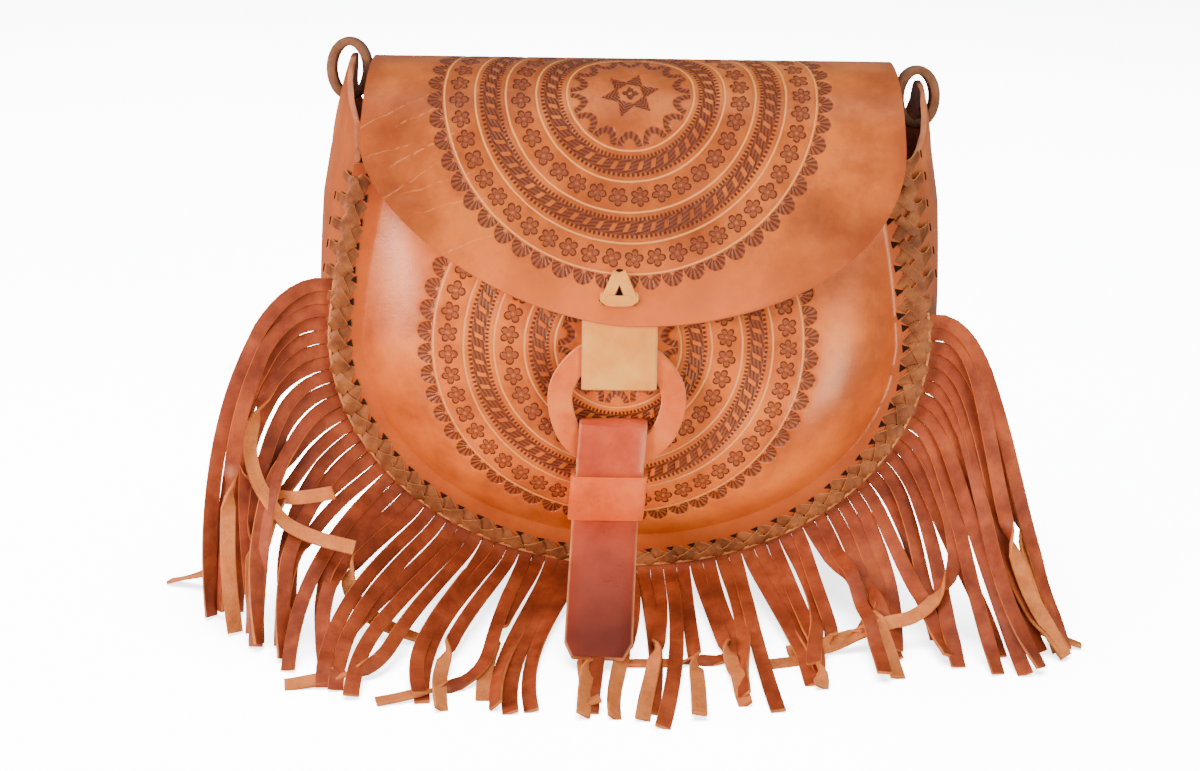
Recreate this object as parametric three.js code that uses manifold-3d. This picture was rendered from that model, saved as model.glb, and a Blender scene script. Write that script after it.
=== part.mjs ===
// A hand-tooled leather saddle bag with a long fringe, standing on its flattened gusset.
// Millimetres, +Z up, the front faces -Y, the origin is the middle of the gusset's flat underside.
import * as THREE from 'three';
import Module from 'manifold-3d';
import { mergeVertices } from 'three/addons/utils/BufferGeometryUtils.js';

const wasm = await Module();
wasm.setup();

// Leather and clearance
const wall = 2.6;
const gap = 0.3;

// The seam that joins each panel to the gusset, seen from the front
const seamHalfWidth = 134;
const seamWidestZ = 125;
const seamBottomZ = 15;
const seamTopZ = 204;
const seamTopHalfWidth = 121.5;
const seamRoundness = 2.05;
const seamTaper = 1.25;
const bagDepth = 84;

// The gusset between the seams, and the tongues that hold the strap loops
const gussetBulge = 9;
const mouthBulge = 14.5;
const mouthBulgeZ = 180;
const bottomSag = 19;
const tongueTipWidth = 22;
const slotHeight = 10.5;
const slotDrop = 5;
const slotSlack = 2.5;

// The moulded front
const domeRise = 21;
const domePeakZ = 100;
const domeReach = 54;
const backRise = 3;

// The flap, which is one leather with the back and the top
const archRadius = 47;
const archTopZ = 243;
const archHalfWidth = 116.5;
const flapHalfWidth = 119;
const flapSlope = 22;
const flapCornerZ = 215;
const flapTipZ = 141;
const flapRoundLeft = 1.65;
const flapRoundRight = 2.1;
const cornerFlare = 2.2;

// Lacing
const laceBand = 14;
const laceThickness = 2.7;
const laceWrap = 9;
const laceEdgeGap = 0.5;

// Fringe
const fringeLeftZ = 147;
const fringeRightZ = 134;
const fringeStrips = 62;
const stripWidth = 5.5;
const stripThickness = 2;
const headerWidth = 9;
const fringeLead = 4.5;
const fringeMargin = 0.03;
const endScatterX = 7;
const endScatterY = 11;

// Closure
const closureX = -5.5;
const tabWidth = 33;
const tabThickness = 1.8;
const tabTopZ = 164;
const tabFoldZ = 110;
const ringRadius = 30.5;
const ringHoleRadius = 19.6;
const ringThickness = 3.5;
const ringZ = 104;
const ringTilt = 3.5;
const strapWidth = 30;
const strapThickness = 3;
const strapFoldZ = 96.5;
const strapBackEndZ = 34;
const strapLean = 6;
const strapEndY = -124;
const strapEndZ = 5.5;
const keeperHeight = 24;
const keeperZ = 59;
const keeperThickness = 1.8;
const keeperSlack = 0.8;
const knotZ = 155.5;
const knotWidth = 17;
const knotHeight = 14;

// Strap loops
const loopThickness = 3.8;
const loopWidth = 12;
const loopTilt = 10;
const loopHalfSpan = 10;
const loopHalfHeight = 14;

// Each side's loop: its place from the seam's top corner, how far the tongue rises above that
// corner, how far it leans in, and how wide its front edge stays as it rises
const sideRows = [
  {
    name: 'strap_loop_left', side: -1, x: seamTopHalfWidth + 6, z: seamTopZ + 33,
    tongueRise: 39, tongueLean: 9.2, front: [1, 0.97, 0.86, 0.45, 0],
  },
  {
    name: 'strap_loop_right', side: 1, x: seamTopHalfWidth + 7, z: seamTopZ + 23.5,
    tongueRise: 30, tongueLean: 5.3, front: [0.99, 0.74, 0.42, 0.18, 0],
  },
];

// Values that follow from the ones above
const frontSeamY = -bagDepth / 2;
const backSeamY = bagDepth / 2;
const panelBackY = frontSeamY - gap;
const panelFrontY = panelBackY - wall;
const backOuterY = backSeamY + gap + wall;
const flangeWidth = laceBand + gap;
const archCentreY = backOuterY - archRadius;
const archCentreZ = archTopZ - archRadius;
const slope = THREE.MathUtils.degToRad(flapSlope);
const loopLean = THREE.MathUtils.degToRad(loopTilt);
const flapStartY = archCentreY - archRadius * Math.cos(slope);
const flapStartZ = archCentreZ + archRadius * Math.sin(slope);

const clamp = THREE.MathUtils.clamp;
const lerp = THREE.MathUtils.lerp;
const vec = (x, y, z) => new THREE.Vector3(x, y, z);

// Collects triangles and welds them into one closed surface that faces out.
class Skin {
  constructor() {
    this.corners = [];
  }

  tri(a, b, c) {
    this.corners.push(a, b, c);
  }

  quad(a, b, c, d) {
    this.tri(a, b, c);
    this.tri(a, c, d);
  }

  // A band of quads between two rows of points
  band(rowA, rowB, closed = false) {
    const last = closed ? rowA.length : rowA.length - 1;
    for (let i = 0; i < last; i += 1) {
      const j = (i + 1) % rowA.length;
      this.quad(rowA[i], rowA[j], rowB[j], rowB[i]);
    }
  }

  geometry() {
    const loose = new THREE.BufferGeometry().setFromPoints(this.corners);
    const welded = mergeVertices(loose, 1e-3);
    const index = welded.getIndex().array;
    const kept = [];
    for (let i = 0; i < index.length; i += 3) {
      const [a, b, c] = [index[i], index[i + 1], index[i + 2]];
      if (a !== b && b !== c && c !== a) kept.push(a, b, c);
    }
    welded.setIndex(kept);
    if (signedVolume(welded) < 0) welded.setIndex(kept.reverse());
    return welded;
  }
}

function signedVolume(geometry) {
  const place = geometry.getAttribute('position');
  const index = geometry.getIndex().array;
  const corner = (i) => new THREE.Vector3().fromBufferAttribute(place, index[i]);
  let volume = 0;
  for (let i = 0; i < index.length; i += 3) {
    volume += corner(i).dot(corner(i + 1).cross(corner(i + 2))) / 6;
  }
  return volume;
}

// A solid through a row of closed sections with equal numbers of points.
// The caps are fans from each end section's first point.
function loft(sections, closed = false) {
  const skin = new Skin();
  const count = sections.length;
  for (let i = 0; i < (closed ? count : count - 1); i += 1) {
    skin.band(sections[i], sections[(i + 1) % count], true);
  }
  if (!closed) {
    const first = sections[0];
    const last = sections[count - 1];
    for (let i = 1; i < first.length - 1; i += 1) {
      skin.tri(first[0], first[i + 1], first[i]);
      skin.tri(last[0], last[i], last[i + 1]);
    }
  }
  return skin.geometry();
}

// A wall between an outer and an inner grid of points
function shell(outer, inner) {
  const skin = new Skin();
  const rows = outer.length;
  const edge = (grid, j) => grid.map((row) => row[j]);
  for (let i = 0; i < rows - 1; i += 1) {
    skin.band(outer[i], outer[i + 1]);
    skin.band(inner[i + 1], inner[i]);
  }
  const lastColumn = outer[0].length - 1;
  skin.band(inner[0], outer[0]);
  skin.band(outer[rows - 1], inner[rows - 1]);
  skin.band(edge(outer, 0), edge(inner, 0));
  skin.band(edge(inner, lastColumn), edge(outer, lastColumn));
  return skin.geometry();
}

// Solid joins and cuts
function toSolid(geometry) {
  const vertProperties = new Float32Array(geometry.getAttribute('position').array);
  const triVerts = new Uint32Array(geometry.getIndex().array);
  return new wasm.Manifold(new wasm.Mesh({ numProp: 3, vertProperties, triVerts }));
}

function toGeometry(solid) {
  const mesh = solid.getMesh();
  const geometry = new THREE.BufferGeometry();
  geometry.setAttribute('position', new THREE.BufferAttribute(mesh.vertProperties, 3));
  geometry.setIndex(new THREE.BufferAttribute(mesh.triVerts, 1));
  return geometry;
}

function blockSolid(low, high) {
  const size = high.clone().sub(low);
  const block = new THREE.BoxGeometry(size.x, size.y, size.z);
  const middle = low.clone().add(high).multiplyScalar(0.5);
  block.translate(middle.x, middle.y, middle.z);
  block.deleteAttribute('normal');
  block.deleteAttribute('uv');
  return toSolid(mergeVertices(block, 1e-4));
}

// Half the seam's width at a height above its widest place
function seamSide(z) {
  const share = Math.max(0, (z - seamWidestZ) / (seamTopZ - seamWidestZ));
  return seamHalfWidth - (seamHalfWidth - seamTopHalfWidth) * share ** seamTaper;
}

// The seam seen from the front, as a curve from the left top round the bottom to the right top
function seamPath(topZ) {
  const half = [];
  const sideSteps = 5;
  for (let i = 0; i < sideSteps; i += 1) {
    const z = lerp(topZ, seamWidestZ, i / sideSteps);
    half.push(new THREE.Vector2(seamSide(z), z));
  }
  const roundSteps = 14;
  for (let i = 0; i <= roundSteps; i += 1) {
    const angle = (Math.PI / 2) * (i / roundSteps);
    const x = seamHalfWidth * Math.cos(angle) ** (2 / seamRoundness);
    const z = seamWidestZ - (seamWidestZ - seamBottomZ) * Math.sin(angle) ** (2 / seamRoundness);
    half.push(new THREE.Vector2(i === roundSteps ? 0 : x, z));
  }
  const left = half.map((p) => new THREE.Vector2(-p.x, p.y));
  const right = half.slice(0, -1).reverse();
  return new THREE.SplineCurve(left.concat(right));
}

const seam = seamPath(seamTopZ);

// A place on a seam path: the point, the direction along it and the direction out of the bag
function seamFrame(path, share) {
  const point = path.getPointAt(share);
  const along = path.getTangentAt(share);
  return { point, along, out: new THREE.Vector2(along.y, -along.x) };
}

// The share of the seam's length at which it passes a height, on the left or the right side
function seamShareAt(z, side) {
  let low = side < 0 ? 0 : 0.5;
  let high = side < 0 ? 0.5 : 1;
  for (let i = 0; i < 30; i += 1) {
    const middle = (low + high) / 2;
    const above = seam.getPointAt(middle).y > z;
    if (above === (side < 0)) low = middle;
    else high = middle;
  }
  return (low + high) / 2;
}

const fringeStart = seamShareAt(fringeLeftZ, -1);
const fringeEnd = seamShareAt(fringeRightZ, 1);
const inFringe = (share) => share > fringeStart - fringeMargin && share < fringeEnd + fringeMargin;
const seamSamples = seam.getSpacedPoints(120);

function distanceToSeam(x, z) {
  const place = new THREE.Vector2(x, z);
  return Math.min(...seamSamples.map((sample) => sample.distanceTo(place)));
}

// The share of the way from the middle to an edge point at which a distance to the seam is left
function shareInwards(edge, middle, distance) {
  let low = 0;
  let high = 1;
  for (let i = 0; i < 20 && distance > 0; i += 1) {
    const share = (low + high) / 2;
    const x = lerp(middle.x, edge.x, share);
    const z = lerp(middle.y, edge.y, share);
    if (distanceToSeam(x, z) > distance) low = share;
    else high = share;
  }
  return high;
}

// How far the moulded front stands out of its flange
function domeHeight(x, z) {
  const inside = clamp((distanceToSeam(x, z) - flangeWidth) / domeReach, 0, 1);
  const profile = 1 - (1 - inside) ** 2.6;
  const towardsMouth = Math.max(0, (z - domePeakZ) / (seamTopZ - domePeakZ));
  return domeRise * profile * (1 - towardsMouth ** 2);
}

const domeY = (x, z) => panelFrontY - domeHeight(x, z);

// A panel over the closed outline of the seam and the mouth, as rings that close on a middle point
function ringPanel(heightAt, faceY, direction) {
  const outline = seam.getSpacedPoints(40);
  const mouthSteps = 8;
  for (let i = 1; i < mouthSteps; i += 1) {
    outline.push(new THREE.Vector2(lerp(seamTopHalfWidth, -seamTopHalfWidth, i / mouthSteps), seamTopZ));
  }
  const middle = new THREE.Vector2(0, (seamTopZ + seamBottomZ) / 2);
  // Each ring lies some flange widths in from the seam, or the share of the way to the middle
  const rings = [
    { inwards: 0, most: 1 },
    { inwards: 1, most: 0.97 },
    { inwards: 1.35, most: 0.94 },
    { inwards: 1.8, most: 0.89 },
    { inwards: 2.5, most: 0.8 },
    { inwards: 2.5, most: 0.58 },
    { inwards: 2.5, most: 0.3 },
    { inwards: 2.5, most: 0 },
  ];
  const skin = new Skin();
  const ringAt = ({ inwards, most }, lift) => outline.map((p) => {
    const share = Math.min(most, shareInwards(p, middle, inwards * flangeWidth));
    const x = lerp(middle.x, p.x, share);
    const z = lerp(middle.y, p.y, share);
    return vec(x, faceY + direction * (heightAt(x, z) + lift), z);
  });
  const outer = rings.map((ring) => ringAt(ring, wall));
  const inner = rings.map((ring) => ringAt(ring, 0));
  for (let i = 0; i < rings.length - 1; i += 1) {
    skin.band(outer[i], outer[i + 1], true);
    skin.band(inner[i + 1], inner[i], true);
  }
  skin.band(inner[0], outer[0], true);
  return skin.geometry();
}

// The line of the bag's leather from the arch's back edge over the top to the flap's tip
function flapPlace(z) {
  const drop = (flapStartZ - z) * Math.tan(slope);
  return flapStartY - drop;
}

const flapInnerY = (z) => flapPlace(z) + wall / Math.cos(slope);

// The back, the top and the flap in one leather
function backFlap() {
  const outer = [];
  const inner = [];
  const across = [-1, -0.9, -0.78, -0.58, -0.3, 0, 0.3, 0.58, 0.78, 0.9, 1];
  const row = (halfWidth, place, leftHalf = halfWidth) => {
    const x = (share) => share * (share < 0 ? leftHalf : halfWidth);
    outer.push(across.map((share) => place(x(share), 0)));
    inner.push(across.map((share) => place(x(share), wall)));
  };
  const backPlace = (z) => (x, depth) => {
    const inside = clamp((distanceToSeam(x, z) - flangeWidth) / domeReach, 0, 1);
    const fade = clamp((archCentreZ - z) / (archCentreZ - domePeakZ), 0, 1);
    return vec(x, backOuterY + backRise * inside * fade - depth, z);
  };
  const roundSteps = 11;
  for (let i = roundSteps; i > 0; i -= 1) {
    const angle = (Math.PI / 2) * (i / roundSteps);
    const x = seamHalfWidth * Math.cos(angle) ** (2 / seamRoundness);
    const z = seamWidestZ - (seamWidestZ - seamBottomZ) * Math.sin(angle) ** (2 / seamRoundness);
    row(i === roundSteps ? 0 : x, backPlace(z));
  }
  const shoulder = 3;
  for (const share of [0, 0.35, 0.7, 1]) {
    const z = lerp(seamWidestZ, archCentreZ - shoulder, share);
    row(seamSide(z), backPlace(z));
  }
  const archSteps = 10;
  for (let i = 0; i <= archSteps; i += 1) {
    const angle = lerp(0, Math.PI - slope, i / archSteps);
    const place = (x, depth) => vec(
      x,
      archCentreY + (archRadius - depth) * Math.cos(angle),
      archCentreZ + (archRadius - depth) * Math.sin(angle),
    );
    const forward = clamp((angle - Math.PI / 2) / (Math.PI / 2 - slope), 0, 1);
    row(lerp(archHalfWidth, flapHalfWidth, forward), place);
  }
  const tipSteps = 10;
  for (let i = 0; i <= tipSteps; i += 1) {
    const angle = (Math.PI / 2) * (i / tipSteps);
    const z = Math.min(flapCornerZ - (flapCornerZ - flapTipZ) * Math.sin(angle), flapStartZ - 2);
    const place = (x, depth) => {
      const nearEdge = clamp((Math.abs(x) / flapHalfWidth - 0.7) / 0.3, 0, 1);
      const below = clamp((flapStartZ - z) / 10, 0, 1);
      const flare = cornerFlare * nearEdge * below;
      return vec(x, flapPlace(z) - flare + depth * Math.cos(slope), z + depth * Math.sin(slope));
    };
    const down = Math.sin(angle);
    const halfAt = (round) => flapHalfWidth * Math.max(0, 1 - down ** round) ** (1 / round);
    row(halfAt(flapRoundRight), place, halfAt(flapRoundLeft));
  }
  return shell(outer, inner);
}

// The tongues at the gusset's ends: how high each row lies, and how far back it reaches, from
// the tip's half width at 0 to the bag's at 1
const tongueRows = [
  { rise: 0.02, back: 0.99 },
  { rise: 0.2, back: 0.74 },
  { rise: 0.45, back: 0.42 },
  { rise: 0.72, back: 0.18 },
  { rise: 1, back: 0 },
];

// How far the gusset stands out of the straight line between its two seams
function gussetSwell(out, y, z) {
  const downward = Math.max(0, -out.y);
  const upward = clamp((z - seamWidestZ) / (mouthBulgeZ - seamWidestZ), 0, 1);
  const sides = lerp(gussetBulge, mouthBulge, upward);
  const bulge = lerp(sides, bottomSag, downward ** 3);
  return bulge * (1 - Math.min(1, Math.abs(y / (bagDepth / 2))) ** 2.4);
}

function gusset() {
  const outer = [];
  const inner = [];
  const across = [-1, -0.84, -0.62, -0.4, 0.4, 0.62, 0.84, 1];
  const addStation = (point, out, frontDepth, backDepth, frontTrim) => {
    const place = (share, depth) => {
      const y = share * (share < 0 ? frontDepth : backDepth) + (share === -1 ? frontTrim : 0);
      const swell = gussetSwell(out, y, point.y) - depth;
      return vec(point.x + out.x * swell, y, Math.max(depth > 0 ? wall : 0, point.y + out.y * swell));
    };
    outer.push(across.map((share) => place(share, 0)));
    inner.push(across.map((share) => place(share, wall)));
  };
  const addTongueRow = (sideRow, k) => {
    const { rise, back } = tongueRows[k];
    const z = seamTopZ + sideRow.tongueRise * rise;
    const x = seamTopHalfWidth - sideRow.tongueLean * rise ** 1.4;
    const depthAt = (share) => lerp(tongueTipWidth / 2, bagDepth / 2, share);
    const point = new THREE.Vector2(sideRow.side * x, z);
    addStation(point, new THREE.Vector2(sideRow.side, 0), depthAt(sideRow.front[k]), depthAt(back), 0);
  };
  const [left, right] = sideRows;
  for (let k = tongueRows.length - 1; k >= 0; k -= 1) addTongueRow(left, k);
  const stations = 34;
  for (let i = 1; i < stations; i += 1) {
    const share = i / stations;
    const frame = seamFrame(seam, share);
    const frontTrim = inFringe(share) ? stripThickness + gap : 0;
    addStation(frame.point, frame.out, bagDepth / 2, bagDepth / 2, frontTrim);
  }
  for (let k = 0; k < tongueRows.length; k += 1) addTongueRow(right, k);
  let solid = toSolid(shell(outer, inner));
  for (const loop of sideRows) {
    const slotTop = loop.z - slotDrop;
    const reach = loop.side * loop.x;
    const middle = -(slotDrop + slotHeight / 2) * Math.sin(loopLean);
    const half = loopWidth / 2 + slotSlack;
    const low = vec(reach - loopHalfSpan, middle - half, slotTop - slotHeight);
    const high = vec(reach + loopHalfSpan, middle + half, slotTop);
    solid = solid.subtract(blockSolid(low, high));
  }
  return toGeometry(solid);
}

// An angled band of lacing over a panel's edge: one leg on the flange, one round the corner
function lacing(direction, edgeY, wrapAt) {
  const stations = 34;
  const sections = [];
  for (let i = 0; i <= stations; i += 1) {
    const share = i / stations;
    const { point, out } = seamFrame(seam, lerp(0.004, 0.996, share));
    const at = (offset, depth) => vec(point.x + out.x * offset, edgeY + direction * depth, point.y + out.y * offset);
    const wrap = wrapAt(share);
    const leg = (reach) => laceEdgeGap + gussetSwell(out, direction * edgeY - reach * wrap, point.y);
    const outside = laceThickness * 0.6;
    sections.push([
      at(laceEdgeGap, gap),
      at(leg(0.6), -0.6 * wrap),
      at(leg(1), -wrap),
      at(leg(1) + outside, -wrap),
      at(leg(0.6) + outside, -0.6 * wrap),
      at(laceEdgeGap + outside, laceThickness * 0.6),
      at(-1, gap + laceThickness),
      at(-laceBand + 1.5, gap + laceThickness),
      at(-laceBand, gap),
    ]);
  }
  return loft(sections);
}

// How the fringe falls, from the first strip on the left to the last on the right.
// Each row gives a strip's knee, where it turns to the ground, and its end, as shares of the
// seam's half width.
const fringeRows = [
  { kneeX: -1.6, kneeZ: 0.6, endX: -1.56, endY: -0.65 },
  { kneeX: -1.48, kneeZ: 0.5, endX: -1.46, endY: -0.68 },
  { kneeX: -1.34, kneeZ: 0.34, endX: -1.24, endY: -0.84 },
  { kneeX: -1.04, kneeZ: 0.16, endX: -0.95, endY: -1.08 },
  { kneeX: -0.62, kneeZ: 0.03, endX: -0.55, endY: -1.24 },
  { kneeX: -0.09, kneeZ: 0.015, endX: -0.08, endY: -1.18 },
  { kneeX: 0.32, kneeZ: 0.015, endX: 0.33, endY: -1.24 },
  { kneeX: 0.72, kneeZ: 0.03, endX: 0.72, endY: -1.0 },
  { kneeX: 0.97, kneeZ: 0.1, endX: 0.98, endY: -0.8 },
  { kneeX: 1.17, kneeZ: 0.15, endX: 1.26, endY: -0.86 },
  { kneeX: 1.3, kneeZ: 0.24, endX: 1.58, endY: -0.74 },
];

// An even scatter from -1 to 1 that is the same each time
const scatter = (i, k) => 2 * ((Math.sin(i * 12.9898 + k * 78.233) * 43758.5453) % 1);
const spread = (i, k) => clamp(scatter(i, k), -1, 1);

// The rows' values at a share of the way along the fringe
function fringeFall(share) {
  const scaled = share * (fringeRows.length - 1);
  const i = Math.min(Math.floor(scaled), fringeRows.length - 2);
  const value = (key) => lerp(fringeRows[i][key], fringeRows[i + 1][key], scaled - i) * seamHalfWidth;
  return {
    knee: vec(value('kneeX'), 0, value('kneeZ')),
    end: vec(value('endX'), value('endY'), stripThickness / 2),
  };
}

// The middle line of a strip: out of the seam, over in an arc and down to the ground
function stripRoute(index) {
  const share = index / (fringeStrips - 1);
  const { point, out, along } = seamFrame(seam, lerp(fringeStart, fringeEnd, share));
  const start = vec(point.x, frontSeamY + stripThickness / 2, point.y);
  const outward = vec(out.x, 0, out.y);
  const lead = start.clone().addScaledVector(outward, fringeLead);
  const height = clamp(lead.z / seamHalfWidth, 0, 1);
  const { knee, end } = fringeFall(share);
  end.x += endScatterX * spread(index, 1);
  end.y += endScatterY * spread(index, 2);
  const away = lead.clone().addScaledVector(outward, lerp(7, 32, height));
  away.y -= lerp(10, 6, height);
  away.z = Math.max(away.z, stripThickness);
  knee.x += endScatterX * spread(index, 3) * height;
  knee.y = lerp(lead.y, end.y, 0.6);
  knee.z = Math.max(knee.z, stripThickness / 2);
  const curve = new THREE.CubicBezierCurve3(lead, away, knee, end);
  const steps = Math.round(lerp(3, 5, height));
  const route = [start.clone().addScaledVector(outward, -2), lead];
  for (let i = 1; i <= steps; i += 1) {
    route.push(curve.getPointAt(i / steps));
  }
  return { route, across: vec(along.x, 0, along.y) };
}

// A flat strip along a route, its width carried along without twisting
function stripGeometry({ route, across }) {
  const sections = [];
  const width = across.clone();
  for (let i = 0; i < route.length; i += 1) {
    const before = route[Math.max(0, i - 1)];
    const after = route[Math.min(route.length - 1, i + 1)];
    const ahead = after.clone().sub(before).normalize();
    width.addScaledVector(ahead, -width.dot(ahead)).normalize();
    const face = ahead.clone().cross(width).normalize();
    const half = width.clone().multiplyScalar(stripWidth / 2);
    const thick = face.multiplyScalar(stripThickness / 2);
    const centre = route[i];
    const corner = (a, b) => {
      const place = centre.clone().addScaledVector(half, a).addScaledVector(thick, b);
      place.z = Math.max(place.z, 0);
      return place;
    };
    sections.push([corner(-1, -1), corner(1, -1), corner(1, 1), corner(-1, 1)]);
  }
  return loft(sections);
}

function fringe() {
  const stations = 46;
  const sections = [];
  for (let i = 0; i <= stations; i += 1) {
    const { point, out } = seamFrame(seam, lerp(fringeStart, fringeEnd, i / stations));
    const at = (offset, y) => vec(point.x + out.x * offset, y, point.y + out.y * offset);
    const [low, high] = [frontSeamY, frontSeamY + stripThickness];
    sections.push([at(-headerWidth, low), at(1.5, low), at(1.5, high), at(-headerWidth, high)]);
  }
  let solid = toSolid(loft(sections));
  for (let i = 0; i < fringeStrips; i += 1) {
    solid = solid.add(toSolid(stripGeometry(stripRoute(i))));
  }
  return toGeometry(solid);
}

// A strap of even thickness along points in the YZ plane, with its middle and half width at each
function strapSolid(points, thickness) {
  const sections = points.map((p, i) => {
    const before = points[Math.max(0, i - 1)];
    const after = points[Math.min(points.length - 1, i + 1)];
    const ahead = new THREE.Vector2(after.y - before.y, after.z - before.z).normalize();
    const off = new THREE.Vector2(-ahead.y, ahead.x).multiplyScalar(thickness / 2);
    const corner = (a, b) => vec(p.x + a * p.half, p.y + b * off.x, p.z + b * off.y);
    return [corner(-1, -1), corner(1, -1), corner(1, 1), corner(-1, 1)];
  });
  return loft(sections);
}

// Points of a half turn in the YZ plane from the back layer to the front layer
function foldPoints(backY, frontY, tipZ, upward, point) {
  const radius = Math.abs(frontY - backY) / 2;
  const middleY = (frontY + backY) / 2;
  const reach = 2;
  const points = [];
  for (let i = 0; i <= 6; i += 1) {
    const angle = Math.PI * (i / 6);
    const y = middleY + radius * Math.cos(angle);
    points.push(point(y, tipZ + upward * (reach * Math.sin(angle) - reach)));
  }
  return points;
}

// The ring lies against the strap's back leg, which lies on the dome
const strapBackY = domeY(closureX, ringZ - ringHoleRadius) - gap - strapThickness / 2;
const ringBackY = strapBackY - strapThickness / 2 - gap;
const ringFrontY = ringBackY - ringThickness;
const ringLean = THREE.MathUtils.degToRad(ringTilt);
const ringFrontAt = (z) => ringFrontY + (z - ringZ) * Math.tan(ringLean);

function closureTab() {
  const half = tabWidth / 2;
  const point = (y, z) => ({ x: closureX + 1, y, z, half });
  const away = gap + tabThickness / 2;
  const backY = domeY(closureX, tabFoldZ + 5) - away;
  const ringTopZ = ringZ + ringRadius;
  const back = [1, 0.83, 0.65, 0.46, 0.28, 0.13].map((share) => {
    const z = lerp(tabFoldZ, tabTopZ, share);
    return point(domeY(closureX, z) - away, z);
  });
  const fold = foldPoints(backY, ringFrontAt(tabFoldZ) - away, tabFoldZ + tabThickness / 2, -1, point);
  const front = [
    point(ringFrontAt(ringZ + ringHoleRadius) - away, ringZ + ringHoleRadius),
    point(ringFrontAt(ringTopZ) - away, ringTopZ),
    point(flapInnerY(flapTipZ + 2) + away, flapTipZ + 2),
    point(flapInnerY(lerp(flapTipZ, tabTopZ, 0.5)) + away, lerp(flapTipZ, tabTopZ, 0.5)),
    point(flapInnerY(tabTopZ) + away, tabTopZ),
  ];
  return strapSolid([...back, ...fold, ...front], tabThickness);
}

function closureRing() {
  const bevel = 0.6;
  const half = ringThickness / 2;
  const profile = [
    [ringHoleRadius, -half + bevel],
    [ringHoleRadius + bevel, -half],
    [ringRadius - bevel, -half],
    [ringRadius, -half + bevel],
    [ringRadius, half - bevel],
    [ringRadius - bevel, half],
    [ringHoleRadius + bevel, half],
    [ringHoleRadius, half - bevel],
    [ringHoleRadius, -half + bevel],
  ].map(([x, y]) => new THREE.Vector2(x, y));
  const ring = new THREE.LatheGeometry(profile, 28);
  ring.deleteAttribute('normal');
  ring.deleteAttribute('uv');
  ring.rotateX(-ringLean);
  ring.translate(closureX, (ringFrontY + ringBackY) / 2, ringZ);
  return mergeVertices(ring, 1e-3);
}

// The strap's middle leans to the left as it goes down
const strapX = (z) => closureX - 1 - strapLean * (strapFoldZ - z) / strapFoldZ;
const keeperLow = keeperZ - keeperHeight / 2;
const keeperHigh = keeperZ + keeperHeight / 2;
const legInKeeper = (z) => domeY(closureX, z) - gap - keeperSlack - keeperThickness - strapThickness / 2;

function closureStrap() {
  const point = (y, z, half = strapWidth / 2) => ({ x: strapX(z), y, z, half });
  const away = gap + strapThickness / 2;
  const ringLowZ = ringZ - ringRadius;
  const onDome = (z) => point(domeY(closureX, z) - away - gap, z);
  const back = [
    onDome(strapBackEndZ),
    onDome(lerp(strapBackEndZ, keeperLow, 0.3)),
    onDome(lerp(strapBackEndZ, keeperLow, 0.6)),
    point(legInKeeper(keeperLow - 1), keeperLow - 1),
    point(legInKeeper(keeperZ), keeperZ),
    point(legInKeeper(keeperHigh), keeperHigh),
    point(strapBackY, ringLowZ + 6),
  ];
  const fold = foldPoints(strapBackY, ringFrontAt(strapFoldZ) - away, strapFoldZ - strapThickness / 2, 1, point);
  const beside = strapThickness + gap;
  const leaveY = legInKeeper(keeperLow) - beside;
  const falling = (across, down) => point(lerp(leaveY, strapEndY, across), lerp(keeperLow, strapEndZ, down));
  const front = [
    point(ringFrontAt(ringLowZ) - away - gap, ringLowZ),
    point(legInKeeper(keeperHigh) - beside, keeperHigh),
    point(legInKeeper(keeperZ) - beside, keeperZ),
    point(leaveY, keeperLow),
    falling(0.17, 0.24),
    falling(0.47, 0.55),
    falling(0.83, 0.87),
    point(strapEndY, strapEndZ, strapWidth / 2 - 3),
  ];
  return strapSolid([...back, ...fold, ...front], strapThickness);
}

// A band round both legs of the strap
function strapKeeper() {
  const skin = new Skin();
  const outerRows = [];
  const innerRows = [];
  for (const share of [0, 0.25, 0.5, 0.75, 1]) {
    const z = lerp(keeperLow, keeperHigh, share);
    const back = domeY(closureX, z) - gap;
    const front = legInKeeper(z) - 1.5 * strapThickness - gap - keeperSlack;
    const loop = (grow) => {
      const half = strapWidth / 2 + gap + grow;
      const x = strapX(z);
      const [low, high] = [front - grow, back - keeperThickness + grow];
      return [vec(x - half, low, z), vec(x + half, low, z), vec(x + half, high, z), vec(x - half, high, z)];
    };
    outerRows.push(loop(keeperThickness));
    innerRows.push(loop(0));
  }
  for (let i = 0; i < outerRows.length - 1; i += 1) {
    skin.band(outerRows[i], outerRows[i + 1], true);
    skin.band(innerRows[i + 1], innerRows[i], true);
  }
  skin.band(innerRows[0], outerRows[0], true);
  skin.band(outerRows.at(-1), innerRows.at(-1), true);
  return skin.geometry();
}

// The triangle of lace that holds the tab to the flap
function tabLace() {
  const sections = [];
  const corners = [
    new THREE.Vector2(0, knotHeight * 0.6),
    new THREE.Vector2(knotWidth / 2, -knotHeight * 0.4),
    new THREE.Vector2(-knotWidth / 2, -knotHeight * 0.4),
  ];
  const scaled = (corner, share) => {
    const x = closureX + 0.5 + corner.x * share;
    const z = knotZ + corner.y * share;
    return { x, z };
  };
  for (const corner of corners) {
    const outside = scaled(corner, 1);
    const inside = scaled(corner, 0.35);
    const at = ({ x, z }, lift) => vec(x, flapPlace(z) - lift, z);
    sections.push([at(outside, gap), at(outside, gap + 2), at(inside, gap + 2.4), at(inside, gap)]);
  }
  return loft(sections, true);
}

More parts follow.
